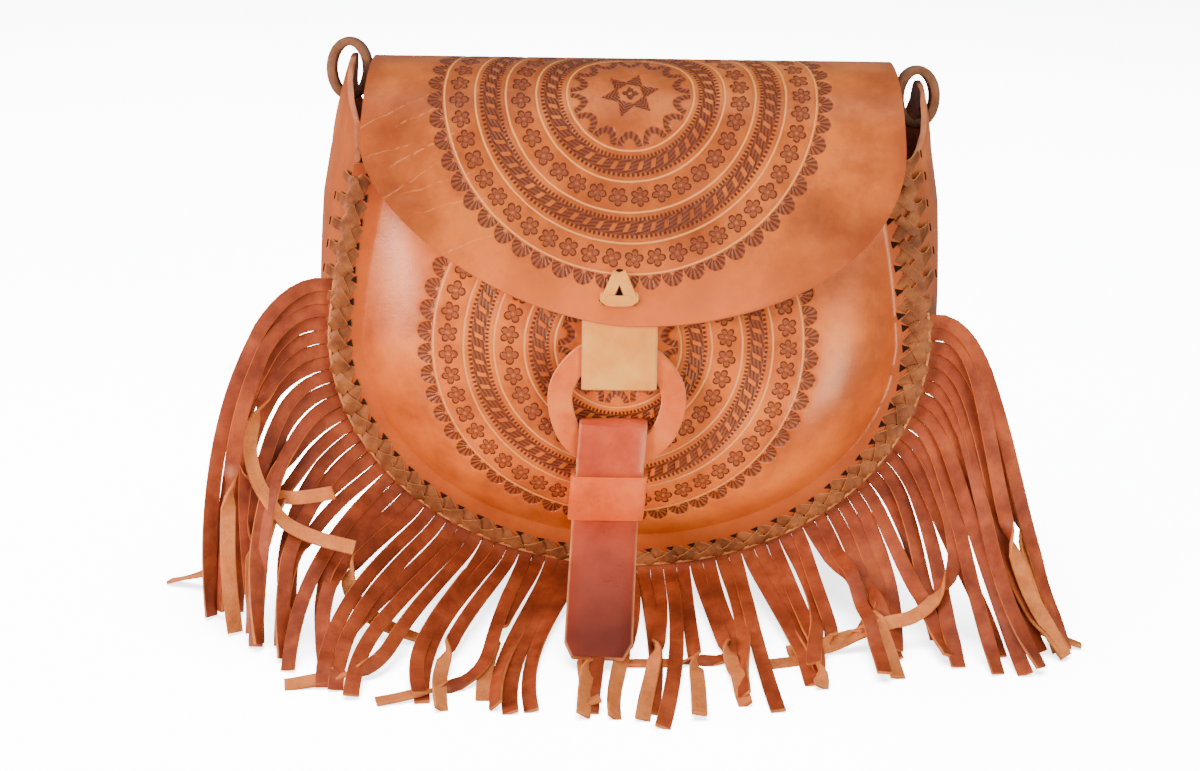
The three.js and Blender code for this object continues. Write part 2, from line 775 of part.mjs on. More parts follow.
function strapLoop(row) {
  const sections = [];
  const steps = 24;
  for (let i = 0; i < steps; i += 1) {
    const angle = (2 * Math.PI * i) / steps;
    const at = (inset, y) => vec(
      (loopHalfSpan - inset) * Math.cos(angle),
      y,
      (loopHalfHeight - inset) * Math.sin(angle),
    );
    const half = loopWidth / 2;
    sections.push([at(0, -half), at(0, half), at(loopThickness, half), at(loopThickness, -half)]);
  }
  const loop = loft(sections, true);
  loop.rotateX(-loopLean);
  loop.translate(row.side * row.x, 0, row.z);
  return loop;
}

// Leathers
const leather = (color, roughness) => new THREE.MeshStandardMaterial({ color, roughness, metalness: 0 });
const tan = leather(0xc27440, 0.45);
const russet = leather(0xa85a30, 0.6);
const lace = leather(0xb47c4a, 0.6);
const cream = leather(0xf0c885, 0.55);
const brown = leather(0x96502f, 0.4);
const saddle = leather(0xb9704c, 0.55);
const peach = leather(0xe09262, 0.55);

const bag = new THREE.Group();
function addPiece(name, geometry, material) {
  const mesh = new THREE.Mesh(geometry, material);
  mesh.name = name;
  bag.add(mesh);
}

addPiece('back_flap', backFlap(), tan);
addPiece('front_panel', ringPanel(domeHeight, panelBackY, -1), tan);
addPiece('gusset', gusset(), tan);
addPiece('fringe', fringe(), russet);
addPiece('front_lacing', lacing(-1, panelFrontY, (share) => (inFringe(share) ? wall : laceWrap)), lace);
addPiece('back_lacing', lacing(1, backOuterY, () => laceWrap), lace);
addPiece('closure_tab', closureTab(), cream);
addPiece('closure_ring', closureRing(), peach);
addPiece('closure_strap', closureStrap(), brown);
addPiece('strap_keeper', strapKeeper(), saddle);
addPiece('tab_lace', tabLace(), cream);
for (const row of sideRows) {
  addPiece(row.name, strapLoop(row), saddle);
}

export default bag;
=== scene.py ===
# A hand-tooled leather saddle bag with a fringe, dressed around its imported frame.
# Lengths are metres. The front of the bag faces -Y.
import math

import bpy
import numpy as np
from mathutils import Matrix, Vector


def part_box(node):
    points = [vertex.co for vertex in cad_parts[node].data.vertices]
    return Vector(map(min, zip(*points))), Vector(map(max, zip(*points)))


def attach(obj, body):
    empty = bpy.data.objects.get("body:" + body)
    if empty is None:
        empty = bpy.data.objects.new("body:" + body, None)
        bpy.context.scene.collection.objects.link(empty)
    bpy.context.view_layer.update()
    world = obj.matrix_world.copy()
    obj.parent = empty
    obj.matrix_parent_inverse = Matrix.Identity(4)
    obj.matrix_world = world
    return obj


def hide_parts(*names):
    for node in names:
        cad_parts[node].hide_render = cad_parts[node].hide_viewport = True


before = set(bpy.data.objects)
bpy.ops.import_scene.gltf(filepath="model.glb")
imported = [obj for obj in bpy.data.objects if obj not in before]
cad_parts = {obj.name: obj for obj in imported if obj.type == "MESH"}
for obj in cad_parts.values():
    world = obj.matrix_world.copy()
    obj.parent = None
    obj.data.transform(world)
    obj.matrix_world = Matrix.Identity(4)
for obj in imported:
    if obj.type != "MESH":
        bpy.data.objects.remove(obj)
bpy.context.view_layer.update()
mm = 0.001

# The bag's main form, taken from the frame where it shows there
panelLow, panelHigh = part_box("front_panel")
gussetLow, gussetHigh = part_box("gusset")
flapLow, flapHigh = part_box("back_flap")
bag = {
    "wall": 2.6 * mm,
    "gap": 0.3 * mm,
    "seamHalf": panelHigh.x,
    "seamWidest": 0.125,
    "seamBottom": panelLow.z,
    "seamTop": panelHigh.z,
    "seamTopHalf": 0.1215,
    "seamRoundness": 2.05,
    "seamTaper": 1.25,
    "flange": 14.3 * mm,
    "domeRise": 21 * mm,
    "domePeak": 0.100,
    "domeReach": 54 * mm,
    "archRadius": 47 * mm,
    "archTop": flapHigh.z,
    "archHalf": 0.1165,
    "flapHalf": 0.119,
    "flapSlope": math.radians(22),
    "flapCorner": 0.215,
    "flapTip": 0.141,
    "closureX": -5.5 * mm,
}
frontSeamY = gussetLow.y
backSeamY = gussetHigh.y
panelBackY = frontSeamY - bag["gap"]
panelFrontY = panelBackY - bag["wall"]
backOuterY = backSeamY + bag["gap"] + bag["wall"]
archCentreY = backOuterY - bag["archRadius"]
archCentreZ = bag["archTop"] - bag["archRadius"]
flapStartY = archCentreY - bag["archRadius"] * math.cos(bag["flapSlope"])
flapStartZ = archCentreZ + bag["archRadius"] * math.sin(bag["flapSlope"])


def evenly(points, count):
    # the same line again, with its points evenly spaced
    steps = np.linalg.norm(np.diff(points, axis=0), axis=1)
    travelled = np.concatenate([[0], np.cumsum(steps)])
    wanted = np.linspace(0, travelled[-1], count)
    return np.stack([np.interp(wanted, travelled, points[:, k]) for k in range(points.shape[1])], axis=1)


def smoothPath(points, count):
    # a Catmull-Rom curve through the points, evenly spaced
    points = np.asarray(points, float)
    padded = np.vstack([2 * points[0] - points[1], points, 2 * points[-1] - points[-2]])
    t = np.linspace(0, 1, 12, endpoint=False)[:, None]
    spans = []
    for i in range(len(points) - 1):
        a, b, c, d = padded[i:i + 4]
        spans.append(0.5 * (2 * b + (c - a) * t + (2 * a - 5 * b + 4 * c - d) * t**2 + (3 * b - a - 3 * c + d) * t**3))
    return evenly(np.vstack(spans + [points[-1:]]), count)


def unit(v):
    return v / np.maximum(np.linalg.norm(v, axis=-1, keepdims=True), 1e-9)


def rise(x, low, high):
    # a straight rise from 0 at low to 1 at high, on numbers or on a shader socket
    return solve("MINIMUM", solve("MAXIMUM", (x - low) * (1 / (high - low)), 0), 1)


def halfSeam(count):
    # one half of the seam, from the bottom middle up to the mouth
    turn = np.linspace(math.pi / 2, 0, 500)
    power = 2 / bag["seamRoundness"]
    height = bag["seamWidest"] - bag["seamBottom"]
    low = np.stack([bag["seamHalf"] * np.cos(turn) ** power, bag["seamWidest"] - height * np.sin(turn) ** power], axis=1)
    z = np.linspace(bag["seamWidest"], bag["seamTop"], 60)[1:]
    share = (z - bag["seamWidest"]) / (bag["seamTop"] - bag["seamWidest"])
    side = np.stack([bag["seamHalf"] - (bag["seamHalf"] - bag["seamTopHalf"]) * share ** bag["seamTaper"], z], axis=1)
    low[0, 0] = 0
    return evenly(np.vstack([low, side]), count)


seamHalf = halfSeam(401)
seamLine = np.vstack([seamHalf[::-1] * [-1, 1], seamHalf[1:]])
seamAlong = unit(np.gradient(seamLine, axis=0))
seamOut = np.stack([seamAlong[:, 1], -seamAlong[:, 0]], axis=1)


def seamAt(share):
    # the point, the direction along and the direction out at a share of the seam, left to right
    place = np.asarray(share) * (len(seamLine) - 1)
    take = lambda row: np.stack([np.interp(place, np.arange(len(seamLine)), row[:, k]) for k in (0, 1)], axis=-1)
    return take(seamLine), unit(take(seamAlong)), unit(take(seamOut))


def seamShareAt(z, side):
    half = len(seamHalf) - 1
    place = half + side * np.interp(z, seamHalf[:, 1], np.arange(len(seamHalf)))
    return place / (2 * half)


def seamDistance(x, z):
    flat = np.stack([x.ravel(), z.ravel()], axis=1)
    line = seamLine[::2]
    parts = [np.sqrt(((p[:, None, :] - line[None]) ** 2).sum(2)).min(1) for p in np.array_split(flat, 1 + len(flat) // 4000)]
    return np.concatenate(parts).reshape(x.shape)


def domeHeight(x, z):
    inside = np.clip((seamDistance(x, z) - bag["flange"]) / bag["domeReach"], 0, 1)
    towardsMouth = np.maximum(0, (z - bag["domePeak"]) / (bag["seamTop"] - bag["domePeak"]))
    return bag["domeRise"] * (1 - (1 - inside) ** 2.6) * (1 - towardsMouth**2)


def domeY(z, x=bag["closureX"]):
    return panelFrontY - float(domeHeight(np.array([[x]]), np.array([[z]]))[0, 0])


def flapY(z):
    return flapStartY - (flapStartZ - z) * math.tan(bag["flapSlope"])


# Shader maths. A Wire is a shader socket that Python's own operators work on.
numpyMaths = {
    "SINE": np.sin, "COSINE": np.cos, "ABSOLUTE": np.abs, "MINIMUM": np.minimum, "MAXIMUM": np.maximum,
    "SQRT": np.sqrt, "ARCTAN2": np.arctan2, "FLOORED_MODULO": np.mod, "FLOOR": np.floor,
    "GREATER_THAN": lambda a, b: (a > b) * 1.0, "POWER": np.power,
}


def solve(operation, *values):
    # the same sum on shader sockets or on arrays, so one pattern serves the mesh and the material
    for value in values:
        if isinstance(value, Wire):
            return value.math(operation, *values)
    return numpyMaths[operation](*values)


class Wire:
    def __init__(self, tree, socket=None):
        self.tree = tree
        self.socket = socket

    def node(self, kind, settings=None, inputs=None, outlet=0):
        made = self.tree.nodes.new(kind)
        for key, value in (settings or {}).items():
            if key == "stops":
                setStops(made.color_ramp, value)
            else:
                setattr(made, key, value)
        for key, value in (inputs or {}).items():
            if isinstance(value, Wire):
                self.tree.links.new(value.socket, made.inputs[key])
            else:
                made.inputs[key].default_value = value
        return Wire(self.tree, made.outputs[outlet]) if len(made.outputs) else None

    def math(self, operation, *values):
        return self.node("ShaderNodeMath", {"operation": operation}, dict(enumerate(values)))

    def __add__(self, other):
        return self.math("ADD", self, other)

    def __radd__(self, other):
        return self.math("ADD", other, self)

    def __sub__(self, other):
        return self.math("SUBTRACT", self, other)

    def __rsub__(self, other):
        return self.math("SUBTRACT", other, self)

    def __mul__(self, other):
        return self.math("MULTIPLY", self, other)

    def __rmul__(self, other):
        return self.math("MULTIPLY", other, self)

    def __truediv__(self, other):
        return self.math("DIVIDE", self, other)

    def __rtruediv__(self, other):
        return self.math("DIVIDE", other, self)

    def noise(self, scale, detail=3, outlet=0, rough=0.55):
        return self.node("ShaderNodeTexNoise", {}, {"Vector": self, "Scale": scale, "Detail": detail, "Roughness": rough}, outlet)

    def tint(self, colour, amount):
        # this colour mixed with another by an amount
        other = colour if isinstance(colour, Wire) else (*colour, 1)
        return self.node("ShaderNodeMix", {"data_type": "RGBA"}, {0: amount, 6: self, 7: other}, 2)

    def stretched(self, x, y, z):
        return self.node("ShaderNodeVectorMath", {"operation": "MULTIPLY"}, {0: self, 1: (x, y, z)})


def setStops(ramp, stops):
    while len(ramp.elements) < len(stops):
        ramp.elements.new(0.5)
    for element, (place, colour) in zip(ramp.elements, stops):
        element.position = place
        element.color = (*colour, 1)


# The stamped medallion, in millimetres from its middle. It works on arrays and on shader sockets.
medallion = {
    "firstLine": 28.0,
    "lineStep": 13.4,
    "lastLine": 82.0,
    "lineWidth": 0.5,
    "shellsIn": {"radius": 22.0, "count": 14},
    "shellsOut": {"radius": 85.5, "count": 54},
    "flowersIn": {"radius": 48.1, "count": 32},
    "flowersOut": {"radius": 75.0, "count": 49},
    "ropeIn": {"radius": 34.7, "count": 38},
    "ropeOut": {"radius": 61.5, "count": 66},
    "starTip": 13.2,
}


def pickBand(r, split, inner, outer):
    # the radius and the count of a motif's inner or outer band
    far = solve("GREATER_THAN", r, split)
    radius = inner["radius"] + far * (outer["radius"] - inner["radius"])
    count = inner["count"] + far * (outer["count"] - inner["count"])
    return far, radius, count


def stampCell(turn, radius, count):
    # how far along the band a place is from the middle of its stamp, and which stamp it is
    place = turn * count
    cell = solve("FLOOR", place)
    return (place - cell - 0.5) * (2 * math.pi) * radius / count, cell


def medallionPattern(x, y):
    # returns how deep, how dark and how freshly cut the leather is
    r = solve("SQRT", x * x + y * y)
    turn = solve("ARCTAN2", y, x) * (0.5 / math.pi) + 0.5

    # cut lines
    near = solve("ABSOLUTE", solve("FLOORED_MODULO", r - medallion["firstLine"] + 6.7, medallion["lineStep"]) - 6.7)
    between = rise(r, 26, 27) * (1 - rise(r, 84, 85))
    line = (1 - rise(near, medallion["lineWidth"] * 0.5, medallion["lineWidth"] * 1.3)) * between

    # shells: the inner ones open outwards, the outer ones are full fans
    far, radius, count = pickBand(r, 50, medallion["shellsIn"], medallion["shellsOut"])
    along, _ = stampCell(turn, radius, count)
    up = far * (r - 82.6) + (1 - far) * (26.2 - r)
    reach = 6.4 + (1 - far) * 0.9
    across = along * 0.205
    lift = up / reach
    fan = solve("SQRT", across * across + lift * lift)
    spoke = solve("ARCTAN2", along, up + 1.2)
    inFan = (1 - rise(fan, 0.92, 1.0)) * rise(up, -0.4, 0.2) * rise(fan, 0.12 + 0.3 * (1 - far), 0.3 + 0.3 * (1 - far))
    fanArea = rise(r, 81.5, 82.3) + (1 - far) * rise(r, 16.5, 17) * (1 - rise(r, 26, 26.8))
    fanRibs = solve("SINE", spoke * 17) * 0.5 + 0.5
    shell = inFan * fanArea

    # flowers with five round petals, some with four or six
    far, radius, count = pickBand(r, 61.5, medallion["flowersIn"], medallion["flowersOut"])
    along, cell = stampCell(turn, radius, count)
    up = r - radius
    reachHere = solve("SQRT", along * along + up * up)
    odd = solve("FLOORED_MODULO", cell * 0.37, 1)
    lobes = 2.5 + 0.5 * solve("GREATER_THAN", odd, 0.82) - 0.5 * solve("GREATER_THAN", 0.12, odd)
    around = solve("ARCTAN2", up, along) + odd * 6
    lobe = solve("POWER", solve("ABSOLUTE", solve("COSINE", around * lobes)) + 0.001, 0.55)
    petals = 1.9 + 2.5 * lobe
    flower = 1 - rise(reachHere - petals, -0.3, 0.1)
    flowerRim = 1 - rise(solve("ABSOLUTE", reachHere - petals + 0.45), 0.15, 0.5)
    flowerCore = 1 - rise(reachHere, 0.4, 0.8)
    flowerRibs = (1 - rise(solve("ABSOLUTE", reachHere - 1.5), 0.1, 0.5)) + (1 - rise(lobe, 0.35, 0.6)) * 0.6

    # rope: light slanted blocks between dark hatched ones, with short ticks on both sides
    far, radius, count = pickBand(r, 48, medallion["ropeIn"], medallion["ropeOut"])
    along, _ = stampCell(turn + (r - radius) * 0.42 / (2 * math.pi * radius), radius, count)
    up = solve("ABSOLUTE", r - radius)
    spine = 1 - rise(up, 2.7, 3.2)
    block = (1 - rise(solve("ABSOLUTE", along + 0.9), 0.95, 1.25)) * (1 - rise(up, 1.7, 2.1))
    hatch = solve("SINE", (r - radius) * 3.6 + along * 1.2) * 0.35 + 0.65
    tickWave = solve("SINE", turn * count * (2 * math.pi * 3)) * 0.5 + 0.5
    ticks = rise(up, 2.9, 3.3) * (1 - rise(up, 4.1, 4.9)) * rise(tickWave, 0.4, 0.65)
    rope = spine * (1 - block)

    # a star of six hatched triangles round a small flower
    sector = solve("FLOORED_MODULO", solve("ARCTAN2", y, x) + 0.3, math.pi / 3) - math.pi / 6
    tipward = r * solve("COSINE", sector)
    sideways = solve("ABSOLUTE", r * solve("SINE", sector))
    starSide = (medallion["starTip"] - tipward) * 0.52
    triangle = (1 - rise(sideways - starSide, -0.4, 0.1)) * rise(tipward, 4.9, 5.4)
    starRibs = solve("SINE", (tipward + sideways * 0.8) * 4.2) * 0.5 + 0.5
    bud = 1 - rise(r - 3.0 - 0.7 * solve("COSINE", solve("ARCTAN2", y, x) * 4), -0.4, 0.1)
    budCore = 1 - rise(r, 0.7, 1.1)

    ribs = shell * fanRibs + flower * (1 - flowerCore) * (flowerRim + flowerRibs * 0.4) + rope * hatch
    ribs = ribs + ticks + triangle * starRibs + bud * (1 - budCore) * 0.8
    area = solve("MINIMUM", shell + flower * (1 - flowerCore) + rope + ticks + triangle + bud * (1 - budCore), 1)
    return area, solve("MINIMUM", ribs, 1), line


def stampDepth(x, y):
    area, ribs, line = medallionPattern(x, y)
    return (0.26 * area + 0.2 * ribs + 0.32 * line) * mm


# Materials
def startMaterial(name):
    material = bpy.data.materials.new(name)
    material.use_nodes = True
    tree = material.node_tree
    tree.nodes.clear()
    return material, Wire(tree)


def leather(name, look):
    material, start = startMaterial(name)
    place = start.node("ShaderNodeTexCoord", outlet=3)
    patch = place.noise(look.get("patch", 11), 3)
    cloud = place.noise(look.get("cloud", 42), 5, rough=0.62)
    grain = place.noise(look.get("grain", 900), 3)
    speck = place.noise(look.get("speck", 260), 4, rough=0.7)
    tone = (patch * 0.5 + cloud * 0.5 - 0.5) * 1.7 + 0.5
    colour = tone.node("ShaderNodeValToRGB", {"stops": look["stops"]}, {0: tone})
    colour = colour.tint(look["deep"], rise(speck, 0.56, 0.75) * look.get("speckle", 0.3))
    streak = place.stretched(*look.get("streakAlong", (60, 260, 60))).noise(1, 2)
    colour = colour.tint(look["pale"], rise(streak, 0.6, 0.8) * look.get("streaks", 0.12))
    height = (grain - 0.5) * look.get("grainDepth", 0.09) + (cloud - 0.5) * look.get("cloudDepth", 0.25)
    rough = look["roughness"] + (cloud - 0.5) * 0.25 + (speck - 0.5) * 0.1

    # painted light by height: the colour is tinted between two heights, a painted highlight on the flap and painted
    # shade on the strap
    if look.get("fade"):
        start01, end01, shade, amount = look["fade"]
        z = start.node("ShaderNodeSeparateXYZ", {}, {0: place}, 2)
        colour = colour.tint(shade, rise(z, start01, end01) * amount * (0.6 + 0.8 * patch))
    # painted shade: darker towards the seams and edges, by the nearEdge attribute
    if look.get("edgeShade"):
        edge = start.node("ShaderNodeAttribute", {"attribute_name": "nearEdge"}, outlet=2)
        colour = colour.tint(look["edgeShade"], edge * (0.55 + 0.6 * patch))
    if look.get("uv"):
        uv = start.node("ShaderNodeUVMap", {"uv_map": look["uv"]})
        split = start.node("ShaderNodeSeparateXYZ", {}, {0: uv})
        x = split
        y = Wire(start.tree, split.socket.node.outputs[1])
        for crease in look.get("creases", []):
            away = (x - crease["x"]) * math.cos(crease["turn"]) + (y - crease["y"]) * math.sin(crease["turn"])
            off = (y - crease["y"]) * math.cos(crease["turn"]) - (x - crease["x"]) * math.sin(crease["turn"])
            wobble = (place.noise(70, 2) - 0.5) * 5 + (place.noise(520, 2) - 0.5) * 1.1
            mark = (1 - rise(solve("ABSOLUTE", off + wobble), 0.05, 0.45)) * (1 - rise(solve("ABSOLUTE", away), crease["half"] * 0.6, crease["half"]))
            mark = mark * rise(place.noise(330, 2), 0.38, 0.55)
            colour = colour.tint(look["pale"], mark * 0.45)
            height = height - mark * 0.1
        if look.get("stamped"):
            wander = (place.noise(160, 2) - 0.5) * 0.5
            area, ribs, line = medallionPattern(x + wander, y + wander * 0.7)
            wear = 0.75 + 0.5 * (cloud - 0.5)
            colour = colour.tint(look["stamp"], area * 0.8 * wear)
            colour = colour.tint(look["stampDeep"], ribs * 0.95 * wear)
            colour = colour.tint(look["cut"], line * 0.8)
            height = height - area * 0.25 - ribs * 0.3 - line * 0.3
            rough = rough + area * 0.06 + line * 0.12
    flesh = start.node("ShaderNodeAttribute", {"attribute_name": "flesh"}, outlet=2)
    fibre = place.noise(1500, 2)
    fleshTone = start.node("ShaderNodeValToRGB", {"stops": look["fleshStops"]}, {0: place.noise(120, 5, rough=0.7)})
    colour = colour.tint(fleshTone, solve("MINIMUM", flesh, 1))
    # near-black painted shade on the plates that stand for holes
    colour = colour.tint((0.012, 0.006, 0.004), rise(flesh, 1.4, 1.6))
    rough = rough + flesh * 0.35
    height = height + flesh * (fibre - 0.5) * 0.35
    bump = start.node("ShaderNodeBump", {}, {"Strength": 1.0, "Distance": mm, "Height": height})
    shader = start.node(
        "ShaderNodeBsdfPrincipled",
        {},
        {
            "Base Color": colour,
            "Roughness": solve("MINIMUM", solve("MAXIMUM", rough, 0.12), 1),
            "Normal": bump,
            "Specular IOR Level": look.get("specular", 0.5),
            "Coat Weight": look.get("coat", 0.0),
            "Coat Roughness": 0.22,
        },
    )
    start.node("ShaderNodeOutputMaterial", {}, {"Surface": shader})
    return material


fleshTan = [(0.3, (0.42, 0.12, 0.05)), (0.7, (0.72, 0.25, 0.11))]
looks = {
    "tooled": {
        "stops": [(0.3, (0.29, 0.058, 0.009)), (0.5, (0.47, 0.104, 0.013)), (0.7, (0.70, 0.175, 0.020))],
        "deep": (0.22, 0.036, 0.010), "pale": (0.95, 0.34, 0.13), "roughness": 0.36, "coat": 0.2,
        "edgeShade": (0.30, 0.05, 0.010), "stamp": (0.155, 0.036, 0.022), "stampDeep": (0.035, 0.008, 0.007),
        # painted highlight: the flap grows brighter towards its tip
        "fade": (0.180, 0.146, (1.0, 0.22, 0.035), 0.6),
        "cut": (1.0, 0.42, 0.11), "fleshStops": fleshTan,
    },
    # painted light: the flap's tooled leather made brighter, since the front panel stands in more light
    "panel": {
        "stops": [(0.3, (0.50, 0.105, 0.013)), (0.5, (0.78, 0.175, 0.020)), (0.7, (0.98, 0.26, 0.032))],
        "deep": (0.34, 0.06, 0.014), "pale": (1.0, 0.42, 0.18), "roughness": 0.33, "coat": 0.3,
        "edgeShade": (0.36, 0.062, 0.010), "stamp": (0.18, 0.044, 0.026), "stampDeep": (0.035, 0.008, 0.007),
        "cut": (1.0, 0.46, 0.14), "fleshStops": fleshTan,
    },
    "side": {
        "stops": [(0.3, (0.34, 0.078, 0.012)), (0.5, (0.50, 0.120, 0.017)), (0.7, (0.70, 0.19, 0.028))],
        "deep": (0.22, 0.05, 0.016), "pale": (0.85, 0.36, 0.16), "roughness": 0.4, "coat": 0.2,
        "edgeShade": (0.34, 0.085, 0.022), "fleshStops": fleshTan,
    },
    "fringe": {
        "stops": [(0.3, (0.17, 0.030, 0.010)), (0.5, (0.30, 0.055, 0.017)), (0.72, (0.46, 0.098, 0.028))],
        "deep": (0.11, 0.020, 0.009), "pale": (0.6, 0.18, 0.06), "roughness": 0.5, "patch": 24, "cloud": 90,
        "fleshStops": [(0.3, (0.50, 0.145, 0.035)), (0.7, (0.78, 0.27, 0.075))], "speckle": 0.4,
    },
    "lace": {
        "stops": [(0.3, (0.13, 0.036, 0.011)), (0.5, (0.24, 0.074, 0.020)), (0.72, (0.40, 0.14, 0.040))],
        "deep": (0.10, 0.030, 0.012), "pale": (0.65, 0.3, 0.1), "roughness": 0.55, "patch": 60, "cloud": 150,
        "fleshStops": [(0.3, (0.52, 0.22, 0.07)), (0.7, (0.78, 0.38, 0.13))],
    },
    "tab": {
        "stops": [(0.3, (0.92, 0.34, 0.05)), (0.5, (1.0, 0.42, 0.07)), (0.72, (1.0, 0.52, 0.11))],
        "deep": (0.60, 0.24, 0.07), "pale": (1.0, 0.72, 0.36), "roughness": 0.5, "patch": 40, "cloud": 110,
        "fleshStops": [(0.3, (0.62, 0.30, 0.10)), (0.7, (0.85, 0.48, 0.18))], "speckle": 0.15,
    },
    "ring": {
        "stops": [(0.3, (0.70, 0.12, 0.018)), (0.5, (0.88, 0.18, 0.030)), (0.7, (0.96, 0.27, 0.060))],
        "deep": (0.50, 0.085, 0.02), "pale": (1.0, 0.5, 0.2), "roughness": 0.5, "patch": 26, "cloud": 75,
        "fleshStops": [(0.3, (0.78, 0.36, 0.16)), (0.7, (0.95, 0.55, 0.28))],
    },
    "strap": {
        # painted shade: the strap darkens towards its low end near the floor
        "stops": [(0.3, (0.44, 0.060, 0.022)), (0.5, (0.60, 0.085, 0.032)), (0.72, (0.74, 0.125, 0.045))], "fade": (0.055, 0.012, (0.13, 0.016, 0.007), 1.0),
        "deep": (0.16, 0.022, 0.010), "pale": (0.6, 0.16, 0.07), "roughness": 0.32, "coat": 0.3, "patch": 18, "cloud": 60,
        "fleshStops": [(0.3, (0.46, 0.15, 0.06)), (0.7, (0.76, 0.34, 0.15))], "speckle": 0.2,
    },
    "keeper": {
        "stops": [(0.3, (0.72, 0.11, 0.020)), (0.5, (0.90, 0.15, 0.028)), (0.72, (1.0, 0.21, 0.045))],
        "deep": (0.36, 0.05, 0.014), "pale": (0.85, 0.26, 0.09), "roughness": 0.5, "patch": 22, "cloud": 70,
        "fleshStops": [(0.3, (0.5, 0.16, 0.06)), (0.7, (0.78, 0.34, 0.14))],
    },
    "loop": {
        "stops": [(0.3, (0.10, 0.040, 0.020)), (0.5, (0.16, 0.070, 0.036)), (0.72, (0.24, 0.115, 0.062))],
        "deep": (0.06, 0.024, 0.012), "pale": (0.4, 0.2, 0.11), "roughness": 0.45, "patch": 30, "cloud": 90,
        "fleshStops": [(0.3, (0.15, 0.062, 0.030)), (0.7, (0.30, 0.14, 0.075))],
    },
}


# Meshes
def makeMesh(name, points, faces, material, uv=None, values=None, sharp=40):
    mesh = bpy.data.meshes.new(name)
    mesh.from_pydata(np.asarray(points, float).tolist(), [], faces)
    mesh.materials.append(material)
    mesh.polygons.foreach_set("use_smooth", [True] * len(mesh.polygons))
    mesh.set_sharp_from_angle(angle=math.radians(sharp))
    for key, numbers in (values or {}).items():
        layer = mesh.attributes.new(key, "FLOAT", "POINT")
        layer.data.foreach_set("value", np.asarray(numbers, np.float32))
    if uv is not None:
        corners = np.zeros(len(mesh.loops), np.int32)
        mesh.loops.foreach_get("vertex_index", corners)
        layer = mesh.uv_layers.new(name="tooling")
        layer.data.foreach_set("uv", np.asarray(uv, np.float32)[corners].ravel())
    mesh.update()
    made = bpy.data.objects.new(name, mesh)
    bpy.context.scene.collection.objects.link(made)
    return made


def outwards(faces, points):
    # turns a closed mesh's faces to point out, by the sign of its volume
    tris = np.array([(f[0], f[i], f[i + 1]) for f in faces for i in range(1, len(f) - 1)])
    a, b, c = (points[tris[:, k]] for k in range(3))
    if np.einsum("ij,ij->i", a, np.cross(b, c)).sum() < 0:
        return [f[::-1] for f in faces]
    return faces


def gridFaces(rows, columns, closed=False):
    wide = columns if closed else columns - 1
    i, j = np.meshgrid(np.arange(rows - 1), np.arange(wide), indexing="ij")
    k = (j + 1) % columns
    quads = np.stack([i * columns + j, i * columns + k, (i + 1) * columns + k, (i + 1) * columns + j], axis=-1)
    return quads.reshape(-1, 4)


def border(rows, columns):
    # the indices round the edge of a grid, in order
    top = [j for j in range(columns)]
    right = [i * columns + columns - 1 for i in range(1, rows)]
    bottom = [(rows - 1) * columns + j for j in range(columns - 2, -1, -1)]
    left = [i * columns for i in range(rows - 2, 0, -1)]
    return top + right + bottom + left


def sheetMesh(name, outer, inner, step, material, uv, nearEdge):
    # a fine outer face, a coarser inner face and a rounded raw edge between them
    rows, columns = outer.shape[:2]
    coarse = inner[::step, ::step]
    rim = np.array(border(rows, columns))
    coarseRim = np.array(border(*coarse.shape[:2]))
    outerFlat = outer.reshape(-1, 3)
    innerFlat = inner.reshape(-1, 3)
    middle = unit(outerFlat[rim] - outerFlat.mean(0)) * 0.25 * mm
    rims = [outerFlat[rim] * (1 - t) + innerFlat[rim] * t + middle * math.sin(math.pi * t) for t in (0.2, 0.5, 0.8)]
    points = np.vstack([outerFlat, *rims, coarse.reshape(-1, 3)])
    faces = gridFaces(rows, columns).tolist()
    loops = [rim, *(len(outerFlat) + k * len(rim) + np.arange(len(rim)) for k in range(3))]
    for low, high in zip(loops[:-1], loops[1:]):
        lowNext, highNext = np.roll(low, -1), np.roll(high, -1)
        faces += np.stack([lowNext, low, high, highNext], axis=1).tolist()
    base = len(points) - coarse.shape[0] * coarse.shape[1]
    faces += [f[::-1] for f in (gridFaces(*coarse.shape[:2]) + base).tolist()]
    fine = loops[-1]
    for k in range(len(coarseRim)):
        a, b = coarseRim[k] + base, coarseRim[(k + 1) % len(coarseRim)] + base
        part = [fine[(k * step + i) % len(fine)] for i in range(step + 1)]
        half = step // 2
        faces += [[part[i + 1], part[i], a] for i in range(half)]
        faces += [[part[i + 1], part[i], b] for i in range(half, step)]
        faces.append([part[half], a, b])
    faces = [[int(i) for i in f] for f in faces]
    flesh = np.ones(len(points))
    flesh[:len(outerFlat)] = 0
    edge = np.zeros(len(points))
    edge[:len(outerFlat)] = nearEdge.ravel()
    flat = np.zeros((len(points), 2))
    flat[:len(outerFlat)] = uv.reshape(-1, 2)
    flat[len(outerFlat):] = 400
    return makeMesh(name, points, outwards(faces, points), material, flat, {"flesh": flesh, "nearEdge": edge})


# Cross section of a strip of leather: across, up, and whether it is the flesh side or a cut edge
stripSection = [
    (-0.92, 1, 0), (-0.5, 1.06, 0), (0, 1.1, 0), (0.5, 1.06, 0), (0.92, 1, 0), (1, 0.5, 1), (1, -0.5, 1),
    (0.92, -1, 1), (0, -1, 1), (-0.92, -1, 1), (-1, -0.5, 1), (-1, 0.5, 1),
]


def ribbonPoints(route, across, width, thickness, closed=False):
    # rings of points round a strip that follows a route, its width kept square to the way ahead
    section = np.array(stripSection)
    ahead = unit(np.gradient(route, axis=0))
    if closed:
        ahead = unit(np.roll(route, -1, axis=0) - np.roll(route, 1, axis=0))
    across = unit(across - ahead * (across * ahead).sum(1, keepdims=True))
    face = np.cross(across, ahead)
    width = np.broadcast_to(width, len(route))[:, None, None]
    rings = route[:, None] + across[:, None] * section[None, :, :1] * width / 2
    rings = rings + face[:, None] * section[None, :, 1:2] * thickness / 2
    return rings


